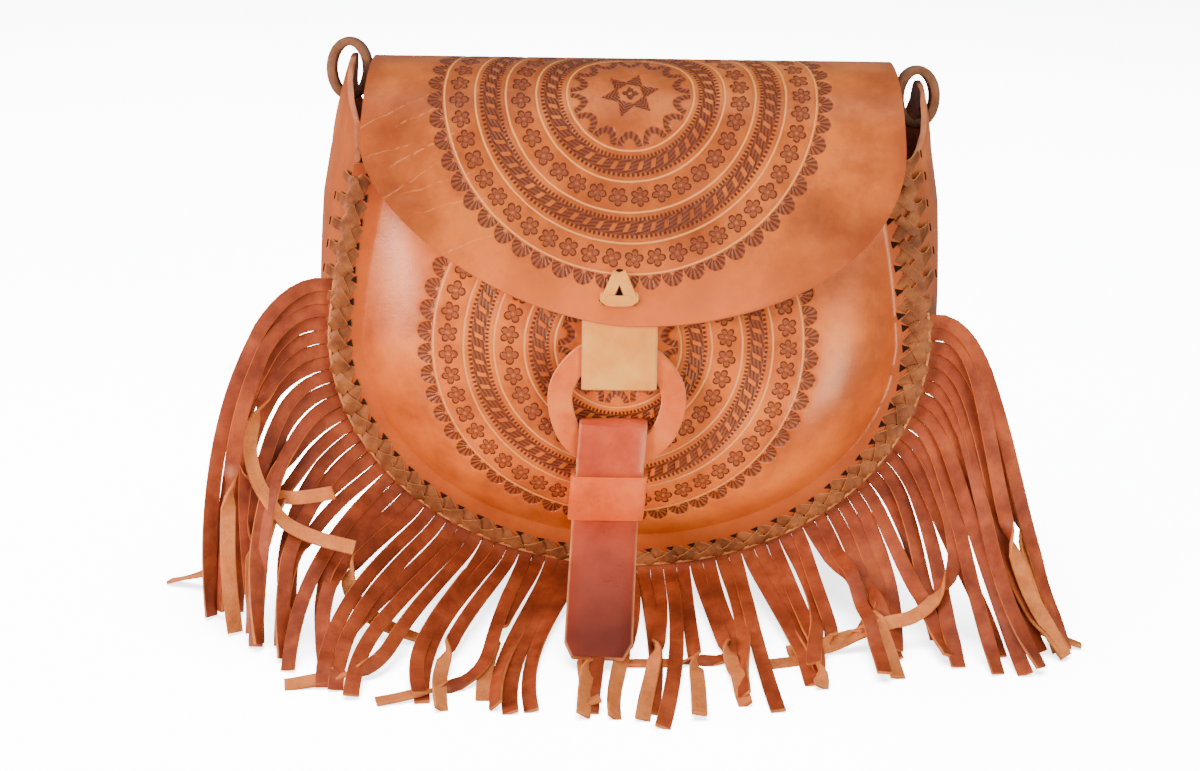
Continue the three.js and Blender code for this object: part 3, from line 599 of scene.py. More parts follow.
def ribbonFaces(count, closed=False):
    size = len(stripSection)
    faces = gridFaces(count, size, closed=True).tolist()
    if closed:
        last = (count - 1) * size
        faces += [[last + j, last + (j + 1) % size, (j + 1) % size, j] for j in range(size)]
    else:
        faces.append(list(range(size))[::-1])
        faces.append([(count - 1) * size + j for j in range(size)])
    return faces


def ribbonsMesh(name, ribbons, material, closed=False, sharp=50, holeShadePlates=(), bare=()):
    # several strips as one mesh, the bare ones all raw leather, with dark plates of painted shade where holes show
    points, faces, flesh, total = [], [], [], 0
    for ring in holeShadePlates:
        count = len(ring) // 2
        around = [[j, (j + 1) % count, count + (j + 1) % count, count + j] for j in range(count)]
        own = outwards([list(range(count))[::-1], [count + j for j in range(count)], *around], ring)
        points.append(ring)
        # 2 marks the plates of painted hole shade
        flesh.append(np.full(len(ring), 2.0))
        faces += [[i + total for i in f] for f in own]
        total += len(ring)
    for strip in bare:
        flat = strip.reshape(-1, 3)
        points.append(flat)
        flesh.append(np.ones(len(flat)))
        faces += [[i + total for i in f] for f in outwards(ribbonFaces(len(strip), closed), flat)]
        total += len(flat)
    for rings in ribbons:
        flat = rings.reshape(-1, 3)
        points.append(flat)
        flesh.append(np.tile([row[2] for row in stripSection], len(rings)))
        own = outwards(ribbonFaces(len(rings), closed), flat)
        faces += [[i + total for i in f] for f in own]
        total += len(flat)
    flesh = np.concatenate(flesh)
    return makeMesh(name, np.vstack(points), faces, material, None, {"flesh": flesh}, sharp)


def plate(corners, lift=0.35, deep=0.3):
    # a thin plate with its corners in millimetres, standing a little off the face at z 0, painted dark as the shade of
    # a hole
    flat = np.array([(x, y, lift) for x, y in corners]) * mm
    return np.vstack([flat, flat - np.array([0, 0, deep * mm])])


def finishPiece(piece, nodes):
    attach(piece, "root")
    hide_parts(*nodes)


# Front panel
frontPanel = {"medallionX": -5.1, "medallionZ": 128.0, "rows": 249, "columns": 241, "step": 8}
creases = [
    {"x": -104.0, "y": -12.0, "turn": 0.5, "half": 21},
    {"x": -92.0, "y": -14.0, "turn": 0.45, "half": 12},
    {"x": -88.0, "y": -27.0, "turn": 0.5, "half": 22},
    {"x": -104.0, "y": -29.0, "turn": 0.3, "half": 12},
    {"x": -96.0, "y": -43.0, "turn": 0.6, "half": 16},
    {"x": -79.0, "y": -42.0, "turn": 0.3, "half": 22},
    {"x": -76.0, "y": -52.0, "turn": 0.25, "half": 18},
    {"x": -66.0, "y": -68.0, "turn": 0.35, "half": 20},
]


def makeFrontPanel():
    count = frontPanel["rows"]
    half = halfSeam(count + 1)[1:]
    share = np.linspace(-1, 1, frontPanel["columns"])
    x = half[:, :1] * share
    z = np.repeat(half[:, 1:], len(share), axis=1)
    uv = np.stack([x / mm - frontPanel["medallionX"], z / mm - frontPanel["medallionZ"]], axis=-1)
    y = panelFrontY - domeHeight(x, z)
    relief = stampDepth(uv[..., 0], uv[..., 1])
    outer = np.stack([x, y + relief, z], axis=-1)
    inner = np.stack([x, y + bag["wall"], z], axis=-1)
    # nearEdge: where the painted shade towards the seam falls
    nearEdge = np.clip(1 - (seamDistance(x, z) - 0.006) / 0.022, 0, 1)
    look = dict(looks["panel"], uv="tooling", stamped=True)
    return sheetMesh("frontPanel", outer, inner, frontPanel["step"], leather("frontLeather", look), uv, nearEdge)


# Back, top and flap
flapSheet = {"columns": 241, "backRise": 3 * mm, "cornerFlare": 2.2 * mm, "medallionAngle": math.radians(126)}


def flapRows():
    # one row for each line across: half widths, the place of its middle and the way in
    rows = []
    back = halfSeam(58)[1:]
    shoulder = archCentreZ - 3 * mm
    for x, z in back[back[:, 1] < shoulder]:
        rows.append((x, x, "back", z))
    turns = np.linspace(0, math.pi - bag["flapSlope"], 137)
    for angle in turns:
        forward = np.clip((angle - math.pi / 2) / (math.pi / 2 - bag["flapSlope"]), 0, 1)
        half = bag["archHalf"] + (bag["flapHalf"] - bag["archHalf"]) * forward
        rows.append((half, half, "arch", angle))
    drop = bag["flapCorner"] - bag["flapTip"]
    start = math.asin((bag["flapCorner"] - flapStartZ + 1 * mm) / drop)
    downTurns = np.concatenate([np.linspace(start, 1.25, 66), np.linspace(1.25, math.pi / 2, 16)[1:-1]])
    for angle in downTurns:
        down = math.sin(angle)
        halfAt = lambda roundness: bag["flapHalf"] * max(0, 1 - down**roundness) ** (1 / roundness)
        rows.append((halfAt(1.65), halfAt(2.1), "flap", bag["flapCorner"] - drop * down))
    return rows


def makeFlap():
    rows = flapRows()
    while (len(rows) - 1) % 8:
        rows.pop(1)
    share = np.linspace(-1, 1, flapSheet["columns"])
    outer, inner, uv = [], [], []
    slope = bag["flapSlope"]
    arcAtCentre = bag["archRadius"] * flapSheet["medallionAngle"]
    for left, right, kind, value in rows:
        x = np.where(share < 0, share * left, share * right)
        if kind == "back":
            z = np.full_like(x, value)
            inside = np.clip((seamDistance(x, z) - bag["flange"]) / bag["domeReach"], 0, 1)
            fade = np.clip((archCentreZ - z) / (archCentreZ - bag["domePeak"]), 0, 1)
            y = backOuterY + flapSheet["backRise"] * inside * fade
            normal = np.array([0, 1.0, 0])
            travelled = value - archCentreZ
        elif kind == "arch":
            y = np.full_like(x, archCentreY + bag["archRadius"] * math.cos(value))
            z = np.full_like(x, archCentreZ + bag["archRadius"] * math.sin(value))
            normal = np.array([0, math.cos(value), math.sin(value)])
            travelled = bag["archRadius"] * value
        else:
            nearSide = np.clip((np.abs(x) / bag["flapHalf"] - 0.7) / 0.3, 0, 1)
            below = min(1, max(0, (flapStartZ - value) / (10 * mm)))
            ripple = 0.5 * mm * below * np.sin(x * 90 + value * 60)
            y = flapY(value) - flapSheet["cornerFlare"] * nearSide * below + np.minimum(ripple, 0)
            z = np.full_like(x, value)
            normal = np.array([0, -math.cos(slope), -math.sin(slope)])
            travelled = bag["archRadius"] * (math.pi - slope) + (flapStartZ - value) / math.cos(slope)
        if kind == "flap":
            normal = np.array([0, -math.cos(slope), math.sin(slope)])
        place = np.stack([x, y, z], axis=-1)
        flat = np.stack([x / mm + 1.2, np.full_like(x, (arcAtCentre - travelled) / mm)], axis=-1)
        relief = stampDepth(flat[:, 0], flat[:, 1])
        outer.append(place - normal * relief[:, None])
        inner.append(place - normal * bag["wall"])
        uv.append(flat)
    outer, inner, uv = np.array(outer), np.array(inner), np.array(uv)
    toSide = np.abs(outer[..., 0]) / np.maximum(np.abs(outer[..., 0]).max(1, keepdims=True), 1e-6)
    # nearEdge: painted shade towards the flap's sides
    nearEdge = np.clip((toSide - 0.9) / 0.1, 0, 1) * 0.5
    look = dict(looks["tooled"], uv="tooling", stamped=True, creases=creases)
    return sheetMesh("tooledFlap", outer, inner, 8, leather("flapLeather", look), uv, nearEdge)


# Gusset
gussetForm = {"bulge": 9 * mm, "mouthBulge": 14.5 * mm, "mouthFrom": 0.125, "mouthTo": 0.180, "sag": 19 * mm, "tongueTip": 22 * mm, "slotHeight": 10.5 * mm, "slotDrop": 5 * mm}
loops = {
    "left": {"side": -1, "x": 0.1275, "z": 0.237, "tongueTop": 0.243, "tongueLean": 9.2 * mm, "front": [1, 0.97, 0.86, 0.45, 0]},
    "right": {"side": 1, "x": 0.1285, "z": 0.2275, "tongueTop": 0.234, "tongueLean": 5.3 * mm, "front": [0.99, 0.74, 0.42, 0.18, 0]},
}
tongueShape = {"rise": [0, 0.2, 0.45, 0.72, 1], "depth": [1, 0.74, 0.42, 0.18, 0]}


def gussetSwell(outZ, y, z):
    downward = np.maximum(0, -outZ)
    upward = np.clip((z - gussetForm["mouthFrom"]) / (gussetForm["mouthTo"] - gussetForm["mouthFrom"]), 0, 1)
    sides = gussetForm["bulge"] + (gussetForm["mouthBulge"] - gussetForm["bulge"]) * upward
    bulge = sides + (gussetForm["sag"] - sides) * downward**3
    return bulge * (1 - np.minimum(1, np.abs(y / backSeamY)) ** 2.4)


fringeStart = seamShareAt(0.147, -1)
fringeEnd = seamShareAt(0.134, 1)


def makeGusset():
    share = np.concatenate([[-1], np.linspace(-1, 1, 33)[1:-1], [1]])
    outer, inner = [], []

    def addRow(point, out, halfFront, halfBack, frontTrim):
        y = np.where(share < 0, share * halfFront, share * halfBack)
        y[0] += frontTrim
        for depth, rows in ((0, outer), (bag["wall"], inner)):
            swell = gussetSwell(out[1], y, point[1]) - depth
            floor = bag["wall"] if depth else 0
            rows.append(np.stack([point[0] + out[0] * swell, y, np.maximum(floor, point[1] + out[1] * swell)], axis=-1))

    def addTongue(loop, t):
        z = bag["seamTop"] + (loop["tongueTop"] - bag["seamTop"]) * t
        x = bag["seamTopHalf"] - loop["tongueLean"] * t**1.4
        tip = gussetForm["tongueTip"] / 2
        halves = [tip + (backSeamY - tip) * np.interp(t, tongueShape["rise"], row) for row in (loop["front"], tongueShape["depth"])]
        front, back = [half - 6 * mm * max(0, (t - 0.9) / 0.1) ** 2 for half in halves]
        addRow((loop["side"] * x, z), (loop["side"], 0), front, back, 0)

    up = np.linspace(0, 1, 22)
    for t in up[::-1]:
        addTongue(loops["left"], t)
    for s in np.linspace(0, 1, 200)[1:-1]:
        point, _, out = seamAt(s)
        trimmed = fringeStart - 0.03 < s < fringeEnd + 0.03
        addRow(point, out, backSeamY, backSeamY, 2.3 * mm if trimmed else 0)
    for t in up:
        addTongue(loops["right"], t)
    outer, inner = np.array(outer), np.array(inner)
    while (len(outer) - 1) % 4:
        outer, inner = np.delete(outer, 120, 0), np.delete(inner, 120, 0)
    uv = np.zeros((*outer.shape[:2], 2))
    # nearEdge: painted shade towards the gusset's seams
    nearEdge = np.repeat(np.clip((np.abs(share) - 0.8) / 0.2, 0, 1)[None], len(outer), axis=0) * 0.6
    made = sheetMesh("gussetStrip", outer, inner, 4, leather("gussetLeather", looks["side"]), uv, nearEdge)
    for loop in loops.values():
        cutSlot(made, loop)
    return made


def cutSlot(piece, loop):
    top = loop["z"] - gussetForm["slotDrop"]
    bpy.ops.mesh.primitive_cube_add(size=1)
    cutter = bpy.context.object
    cutter.scale = (20 * mm, 14 * mm, gussetForm["slotHeight"])
    cutter.location = (loop["side"] * loop["x"], -1.8 * mm, top - gussetForm["slotHeight"] / 2)
    cut = piece.modifiers.new("slot", "BOOLEAN")
    cut.operation = "DIFFERENCE"
    cut.object = cutter
    cut.solver = "EXACT"
    applyModifiers(piece)
    bpy.data.objects.remove(cutter)


def applyModifiers(piece):
    bpy.context.view_layer.update()
    graph = bpy.context.evaluated_depsgraph_get()
    mesh = bpy.data.meshes.new_from_object(piece.evaluated_get(graph))
    piece.modifiers.clear()
    piece.data = mesh


print("materials and sheets")
panelPiece = makeFrontPanel()
finishPiece(panelPiece, ["front_panel"])
flapPiece = makeFlap()
finishPiece(flapPiece, ["back_flap"])
gussetPiece = makeGusset()
finishPiece(gussetPiece, ["gusset"])

# Fringe
fringe = {
    "strips": 70, "width": 6.1 * mm, "thickness": 1.7 * mm, "lead": 4.5 * mm, "header": 9 * mm,
    "scatterX": 8 * mm, "scatterY": 12 * mm, "stations": 34, "seed": 11, "bunch": 0.55, "turned": 0.3,
    # knee and end of the strips from left to right, as shares of the seam's half width
    "fall": [
        (-1.40, 0.6, -1.36, -0.62), (-1.30, 0.5, -1.25, -0.66), (-1.18, 0.34, -1.12, -0.84),
        (-1.0, 0.16, -0.93, -1.08), (-0.62, 0.03, -0.55, -1.24), (-0.09, 0.015, -0.08, -1.18),
        (0.32, 0.015, 0.33, -1.24), (0.72, 0.03, 0.72, -1.0), (0.97, 0.1, 0.98, -0.8),
        (1.17, 0.15, 1.26, -0.86), (1.3, 0.24, 1.55, -0.74),
    ],
}
# strips that leave the others: where along its fall, how far aside and forwards in millimetres,
# how much of its height it keeps, and where it turns over
strays = {
    3: {"leaves": 0.6, "aside": 45, "forward": 15, "stays": 0.8, "turn": 0.7},
    5: {"leaves": 0.55, "aside": 50, "forward": 20, "stays": 0.5, "turn": 0.35},
    8: {"leaves": 0.75, "aside": -50, "forward": -25, "stays": 0, "turn": 0.8},
    19: {"leaves": 0.6, "aside": 40, "forward": 15, "stays": 0, "turn": 0.5},
    24: {"leaves": 0.8, "aside": -40, "forward": 10, "stays": 0, "turn": 0.8},
    28: {"leaves": 0.75, "aside": -45, "forward": 25, "stays": 0, "turn": 0.8},
    42: {"leaves": 0.7, "aside": -55, "forward": 5, "stays": 0, "turn": 0.75},
    49: {"leaves": 0.75, "aside": -30, "forward": 15, "stays": 0, "turn": 0.7},
    53: {"leaves": 0.75, "aside": -45, "forward": 15, "stays": 0, "turn": 0.75},
    60: {"leaves": 0.6, "aside": -60, "forward": 20, "stays": 0, "turn": 0.6},
    63: {"leaves": 0.7, "aside": 40, "forward": 15, "stays": 0, "turn": 0.6},
}


def wander(body, stray):
    # the strip comes down with its neighbours, then swings aside
    keep = int(len(body) * stray["leaves"])
    corner = body[keep]
    reach = np.array([stray["aside"], -stray["forward"], 0]) * mm
    tip = corner + reach
    tip[2] = corner[2] * stray["stays"]
    bend = corner + reach * [0.3, 0.6, 0]
    bend[2] = (corner[2] + tip[2]) * 0.4
    return smoothPath(np.vstack([body[:keep:6], corner, bend, tip]), 60)


def bezier(a, b, c, d, count):
    t = np.linspace(0, 1, count)[:, None]
    return (1 - t) ** 3 * a + 3 * (1 - t) ** 2 * t * b + 3 * (1 - t) * t**2 * c + t**3 * d


def stripRoutes():
    rng = np.random.default_rng(fringe["seed"])
    fall = np.array(fringe["fall"]) * bag["seamHalf"]
    bunches = np.repeat(np.arange(fringe["strips"]), rng.integers(1, 6, fringe["strips"]))[:fringe["strips"]]
    routes, widths, turns = [], [], []
    for i in range(fringe["strips"]):
        share = i / (fringe["strips"] - 1)
        bunchShare = np.flatnonzero(bunches == bunches[i]).mean() / (fringe["strips"] - 1)
        fallAt = lambda s: np.array([np.interp(s * 10, range(11), fall[:, k]) for k in range(4)])
        kneeX, kneeZ, endX, endY = fallAt(share) * (1 - fringe["bunch"]) + fallAt(bunchShare) * fringe["bunch"]
        point, along, out = seamAt(fringeStart + (fringeEnd - fringeStart) * share)
        outward = np.array([out[0], 0, out[1]])
        start = np.array([point[0], frontSeamY + fringe["thickness"] / 2, point[1]])
        lead = start + outward * fringe["lead"]
        height = np.clip(lead[2] / bag["seamHalf"], 0, 1)
        end = np.array([endX + fringe["scatterX"] * rng.uniform(-1, 1), endY + fringe["scatterY"] * rng.uniform(-1, 1), fringe["thickness"] / 2])
        away = lead + outward * (7 + 25 * height) * mm
        away[1] -= (10 - 4 * height) * mm
        away[2] = max(away[2], 2 * mm)
        knee = np.array([kneeX + fringe["scatterX"] * rng.uniform(-1, 1) * height, lead[1] + (end[1] - lead[1]) * 0.6, max(kneeZ, 1 * mm)])
        body = bezier(lead, away, knee, end, 60)
        sway = rng.normal(0, 3.4 * mm, 3) * [1, 0.6, 0.6]
        t = np.linspace(0, 1, len(body))[:, None]
        body = body + sway * np.sin(math.pi * t * rng.uniform(0.8, 1.8)) * t
        turn = rng.uniform(0.55, 0.95) if rng.uniform() < fringe["turned"] else 2
        if i in strays:
            body = wander(body, strays[i])
            turn = strays[i]["turn"]
        body[:, 2] = np.maximum(body[:, 2], fringe["thickness"] / 2)
        routes.append(evenly(np.vstack([start - outward * 2 * mm, start, body]), fringe["stations"]))
        widths.append(-np.array([along[0], 0, along[1]]))
        turns.append(turn)
    return np.array(routes), np.array(widths), turns, rng


def settle(routes, rounds=12):
    # pushes strips that run through each other apart, the later one upwards, and keeps them smooth
    strips, stations = routes.shape[:2]
    owner = np.repeat(np.arange(strips), stations)
    free = np.tile(np.arange(stations) > 7, strips)
    other = (owner[:, None] != owner[None]) & free[:, None] & free[None]
    later = (owner[:, None] - owner[None]).astype(np.float32) * 1e-6
    apart = np.float32(fringe["thickness"] * 1.3)
    for _ in range(rounds):
        flat = routes.reshape(-1, 3).astype(np.float32)
        aside = (flat[:, None, 0] - flat[None, :, 0]) ** 2 + (flat[:, None, 1] - flat[None, :, 1]) ** 2
        gapZ = flat[:, None, 2] - flat[None, :, 2]
        meet = other & (aside < (4.2 * mm) ** 2) & (np.abs(gapZ) < apart)
        shove = meet * np.where(gapZ + later > 0, 1, -0.35) * (apart - np.abs(gapZ))
        routes = routes.copy()
        routes[..., 2] += ((shove.max(1) + shove.min(1)) * 0.5).reshape(strips, stations)
        inner = routes[:, 1:-1]
        routes[:, 9:-1] = (inner + 0.25 * (routes[:, :-2] + routes[:, 2:] - 2 * inner))[:, 8:]
        routes[..., 2] = np.maximum(routes[..., 2], fringe["thickness"] / 2 + 0.1 * mm)
    return routes


def makeFringe():
    routes, widths, turns, rng = stripRoutes()
    routes = settle(routes)
    ribbons = []
    for route, side, turn in zip(routes, widths, turns):
        # each strip faces forwards where it hangs and upwards where it lies
        count = len(route)
        t = np.linspace(0, 1, count)
        ahead = unit(np.gradient(route, axis=0))
        lying = np.clip((14 * mm - route[:, 2]) / (11 * mm), 0, 1)[:, None]
        facing = np.array([0, -1.0, 0.3]) * (1 - lying) + np.array([0, -0.15, 1.0]) * lying
        across = unit(np.cross(ahead, facing))
        rooted = np.clip(1 - t * 9, 0, 1)[:, None]
        across = unit(across * (1 - rooted) + side * rooted)
        face = np.cross(across, ahead)
        twist = rng.normal(0, 0.35) * t**1.5 + rng.normal(0, 0.35) * np.sin(t * math.pi * rng.uniform(1, 2.5)) * t
        over = np.clip((t - turn + 0.09) / 0.18, 0, 1)
        twist = twist + rng.choice([-1, 1]) * math.pi * over * over * (3 - 2 * over)
        across = across * np.cos(twist)[:, None] + face * np.sin(twist)[:, None]
        wide = fringe["width"] * (1.0 + 0.14 * t * rng.uniform(0.2, 1.3))
        rings = ribbonPoints(route, across, wide, fringe["thickness"])
        rings[..., 2] = np.maximum(rings[..., 2], 0.05 * mm)
        ribbons.append(rings)
    shares = np.linspace(fringeStart, fringeEnd, 160)
    point, _, out = seamAt(shares)
    middle = point + out * -3.2 * mm
    route = np.stack([middle[:, 0], np.full(len(middle), frontSeamY + fringe["thickness"] / 2), middle[:, 1]], axis=1)
    side = np.stack([out[:, 0], np.zeros(len(out)), out[:, 1]], axis=1)
    ribbons.append(ribbonPoints(route, side, fringe["header"] + 3 * mm, fringe["thickness"]))
    return ribbonsMesh("fringeStrips", ribbons, leather("fringeLeather", looks["fringe"]))


print("fringe")
finishPiece(makeFringe(), ["fringe"])

# Lacing
lacing = {
    "pitch": 10.3 * mm, "laceWidth": 6.0 * mm, "crossWidth": 4.4 * mm, "thin": 1.0 * mm, "seed": 5,
    # how far the lacing reaches into the panel, as shares of 9 mm, from left to right along the seam
    "reach": [0.9, 0.9, 0.95, 0.88, 0.72, 0.7, 0.72, 0.85, 1.0, 1.2, 1.3],
}


def laceStitch(name, wrap, bulge, reach, material):
    # one stitch: x along the seam, y into the panel, z off its face, and how square it lies to the seam
    swellAt = lambda deep: bulge * (1 - (1 - deep / 42) ** 2.4)
    over = [(-0.8, 9.0 * reach, -0.8, 0), (1.0, 8.0 * reach, 0.9, 0), (4.0, 5.8 * reach, 1.35, 0), (8.0, 3.0 * reach, 1.3, 0), (11.0, 1.2, 1.0, 0.1)]
    cross = [(3.4, 1.2, 0.9, 0.2), (6.0, 2.8 * reach, 1.9, 0), (9.0, 4.8 * reach, 1.7, 0), (11.0, 6.4 * reach, 0.5, 0)]
    if wrap:
        over += [(12.2, -0.6, 0.4, 0.7), (12.9, -0.9 - swellAt(2), -2, 1), (13.4, -0.7 - swellAt(5), -5, 1), (13.6, 0.2 - swellAt(wrap), -wrap, 1)]
        cross = [(2.2, 0.2 - swellAt(wrap - 2), 2 - wrap, 1), (2.5, -0.9 - swellAt(2), -2, 1), (2.9, -0.6, 0.4, 0.7), *cross]
    else:
        over.append((12.6, 0.4, 0.2, 0.4))
    ribbons = []
    for points, width, flat, square in ((over, lacing["laceWidth"], (-0.55, -0.83, 0), -1), (cross, lacing["crossWidth"], (0.6, -0.8, 0), 1)):
        route = smoothPath(np.array(points) * [mm, mm, mm, 1], 2 * len(points))
        share = np.clip(route[:, 3:], 0, 1)
        side = np.array(flat) * (1 - share) + np.array([square, 0, 0]) * share
        ribbons.append(ribbonPoints(route[:, :3], side, width * (1 - 0.25 * share[:, 0]), lacing["thin"]))
    # dark plates of painted shade where the lace holes show
    holes = [plate([(-3.0, 9.6 * reach), (0.6, 10.0 * reach), (-0.6, 7.0 * reach)])]
    if wrap:
        out = -1.2 - swellAt(wrap)
        holes.append(np.array([(x, out - lift, deep) for lift in (0, 0.4) for x, deep in ((12.0, -wrap - 1.6), (15.2, -wrap - 1.6), (15.2, 0.4 - wrap), (12.0, 0.4 - wrap))]) * mm)
    return ribbonsMesh(name, ribbons, material, holeShadePlates=holes)


def stitchTree():
    # seam curve in, stitches along it out
    tree = bpy.data.node_groups.new("stitchesAlongSeam", "GeometryNodeTree")
    face = tree.interface
    face.new_socket("Geometry", in_out="INPUT", socket_type="NodeSocketGeometry")
    face.new_socket("Stitch", in_out="INPUT", socket_type="NodeSocketObject")
    face.new_socket("Count", in_out="INPUT", socket_type="NodeSocketInt")
    face.new_socket("Facing", in_out="INPUT", socket_type="NodeSocketVector")
    face.new_socket("Seed", in_out="INPUT", socket_type="NodeSocketInt")
    face.new_socket("Leather", in_out="INPUT", socket_type="NodeSocketMaterial")
    face.new_socket("Geometry", in_out="OUTPUT", socket_type="NodeSocketGeometry")
    nodes, links = tree.nodes, tree.links

    def add(kind, settings=None, inputs=None):
        made = nodes.new(kind)
        for key, value in (settings or {}).items():
            setattr(made, key, value)
        for key, value in (inputs or {}).items():
            if isinstance(value, bpy.types.NodeSocket):
                links.new(value, made.inputs[key])
            else:
                made.inputs[key].default_value = value
        return made

    given = add("NodeGroupInput").outputs
    spaced = add("GeometryNodeResampleCurve", {}, {"Curve": given["Geometry"], "Count": given["Count"]})
    tangent = add("GeometryNodeInputTangent").outputs[0]
    aim = add("FunctionNodeAlignRotationToVector", {"axis": "X"}, {"Vector": tangent})
    aim = add("FunctionNodeAlignRotationToVector", {"axis": "Z", "pivot_axis": "X"}, {"Rotation": aim.outputs[0], "Vector": given["Facing"]})
    size = add("FunctionNodeRandomValue", {"data_type": "FLOAT"}, {"Seed": given["Seed"]})
    size.inputs[2].default_value = 0.95
    size.inputs[3].default_value = 1.05
    radius = add("GeometryNodeInputRadius").outputs[0]
    reach = add("ShaderNodeMath", {"operation": "MULTIPLY"}, {0: radius, 1: size.outputs[1]})
    stretch = add("ShaderNodeCombineXYZ", {}, {"X": size.outputs[1], "Y": reach.outputs[0], "Z": 1.0})
    source = add("GeometryNodeObjectInfo", {}, {"Object": given["Stitch"]})
    placed = add("GeometryNodeInstanceOnPoints", {}, {
        "Points": spaced.outputs[0], "Instance": source.outputs["Geometry"], "Rotation": aim.outputs[0], "Scale": stretch.outputs[0],
    })
    real = add("GeometryNodeRealizeInstances", {}, {"Geometry": placed.outputs[0]})
    dressed = add("GeometryNodeSetMaterial", {}, {"Geometry": real.outputs[0], "Material": given["Leather"]})
    add("NodeGroupOutput", {}, {0: dressed.outputs[0]})
    return tree


def runStitches(name, tree, path, reach, stitch, facing, leatherMaterial, seed):
    # one stretch of lacing along a path, as a plain mesh
    curve = bpy.data.curves.new(name, "CURVE")
    curve.dimensions = "3D"
    spline = curve.splines.new("POLY")
    spline.points.add(len(path) - 1)
    spline.points.foreach_set("co", np.hstack([path, np.ones((len(path), 1))]).ravel())
    spline.points.foreach_set("radius", reach)
    holder = bpy.data.objects.new(name, curve)
    bpy.context.scene.collection.objects.link(holder)
    modifier = holder.modifiers.new("stitches", "NODES")
    modifier.node_group = tree
    length = np.linalg.norm(np.diff(path, axis=0), axis=1).sum()
    values = {"Stitch": stitch, "Count": int(length / lacing["pitch"]) + 1, "Facing": facing, "Seed": seed, "Leather": leatherMaterial}
    for item in tree.interface.items_tree:
        if item.in_out == "INPUT" and item.name in values:
            modifier[item.identifier] = values[item.name]
    holder.update_tag()
    bpy.context.view_layer.update()
    graph = bpy.context.evaluated_depsgraph_get()
    mesh = bpy.data.meshes.new_from_object(holder.evaluated_get(graph))
    bpy.data.objects.remove(holder)
    return mesh


def makeLacing(name, faceY, direction, stretches, material):
    tree = stitchTree()
    parts = []
    for k, (low, high, wrap, bulge, reachHere) in enumerate(stretches):
        stitch = laceStitch(f"{name}Stitch{k}", wrap, bulge, reachHere, material)
        shares = np.linspace(low, high, 200)
        if direction > 0:
            shares = shares[::-1]
        point, _, _ = seamAt(shares)
        path = np.stack([point[:, 0], np.full(len(point), faceY), point[:, 1]], axis=1)
        reach = np.ones(len(shares)) if wrap else np.interp(shares * 10, range(11), lacing["reach"])
        mesh = runStitches(f"{name}Path{k}", tree, path, reach, stitch, (0, direction, 0), material, lacing["seed"] + k)
        part = bpy.data.objects.new(f"{name}{k}", mesh)
        bpy.context.scene.collection.objects.link(part)
        parts.append(part)
        bpy.data.objects.remove(stitch)
    if direction < 0:
        # the raw edge of the panel, which shows all along the fringe
        point, _, out = seamAt(np.linspace(fringeStart - 0.01, fringeEnd + 0.01, 180))
        route = np.stack([point[:, 0], np.full(180, faceY + 0.9 * mm), point[:, 1]], axis=1) + np.stack([out[:, 0], np.zeros(180), out[:, 1]], axis=1) * 0.8 * mm
        side = np.stack([out[:, 0], np.zeros(180), out[:, 1]], axis=1)
        parts.append(ribbonsMesh(f"{name}Edge", [], material, bare=[ribbonPoints(route, side, 1.3 * mm, 2.6 * mm)]))
    bpy.ops.object.select_all(action="DESELECT")
    for part in parts:
        part.select_set(True)
    bpy.context.view_layer.objects.active = parts[0]
    bpy.ops.object.join()
    parts[0].name = name
    return parts[0]


print("lacing")
laceMaterial = leather("laceLeather", looks["lace"])
frontStretches = [
    (0.008, fringeStart - 0.016, 8, 13, 0.8), (fringeStart - 0.008, fringeEnd, 0, 0, 1), (fringeEnd + 0.012, 0.985, 8, 13, 1.3),
]
frontLace = makeLacing("frontLace", panelFrontY, -1, frontStretches, laceMaterial)
finishPiece(frontLace, ["front_lacing"])
backStretches = [(0.008, 0.22, 8, 12, 0.95), (0.232, 0.77, 8, 17, 0.95), (0.782, 0.985, 8, 12, 0.95)]
backLace = makeLacing("backLace", backOuterY, 1, backStretches, laceMaterial)
finishPiece(backLace, ["back_lacing"])

# Closure
closure = {
    "tabWidth": 33 * mm, "tabThickness": 1.8 * mm, "tabTop": 0.164, "tabFold": 0.110,
    "ringRadius": 30.5 * mm, "ringHole": 19.6 * mm, "ringThickness": 3.5 * mm, "ringZ": 0.104, "ringTilt": math.radians(3.5),
    "strapWidth": 30 * mm, "strapThickness": 3 * mm, "strapFold": 0.0965, "strapBackEnd": 0.034, "strapLean": 6 * mm,
    "strapEndY": -0.124, "strapEndZ": 5.5 * mm,
    "keeperHeight": 24 * mm, "keeperZ": 0.059, "keeperThickness": 1.8 * mm, "keeperSlack": 0.8 * mm,
    "knotZ": 0.1555, "knotWidth": 17 * mm, "knotHeight": 14 * mm, "knotLace": 5.0 * mm,
}
gap = bag["gap"]
strapBackY = domeY(closure["ringZ"] - closure["ringHole"]) - gap - closure["strapThickness"] / 2
ringBackY = strapBackY - closure["strapThickness"] / 2 - gap
ringFrontY = ringBackY - closure["ringThickness"]


def ringFrontAt(z):
    return ringFrontY + (z - closure["ringZ"]) * math.tan(closure["ringTilt"])


def foldPoints(backY, frontY, tipZ, upward):
    turns = np.linspace(0, math.pi, 9)
    middle = (backY + frontY) / 2
    radius = abs(frontY - backY) / 2
    return [(middle + radius * math.cos(a), tipZ + upward * 2 * mm * (math.sin(a) - 1)) for a in turns]


def strapRoute(profile, xAt, count):
    flat = smoothPath(np.array([(xAt(z), y, z) for y, z in profile]), count)
    return flat


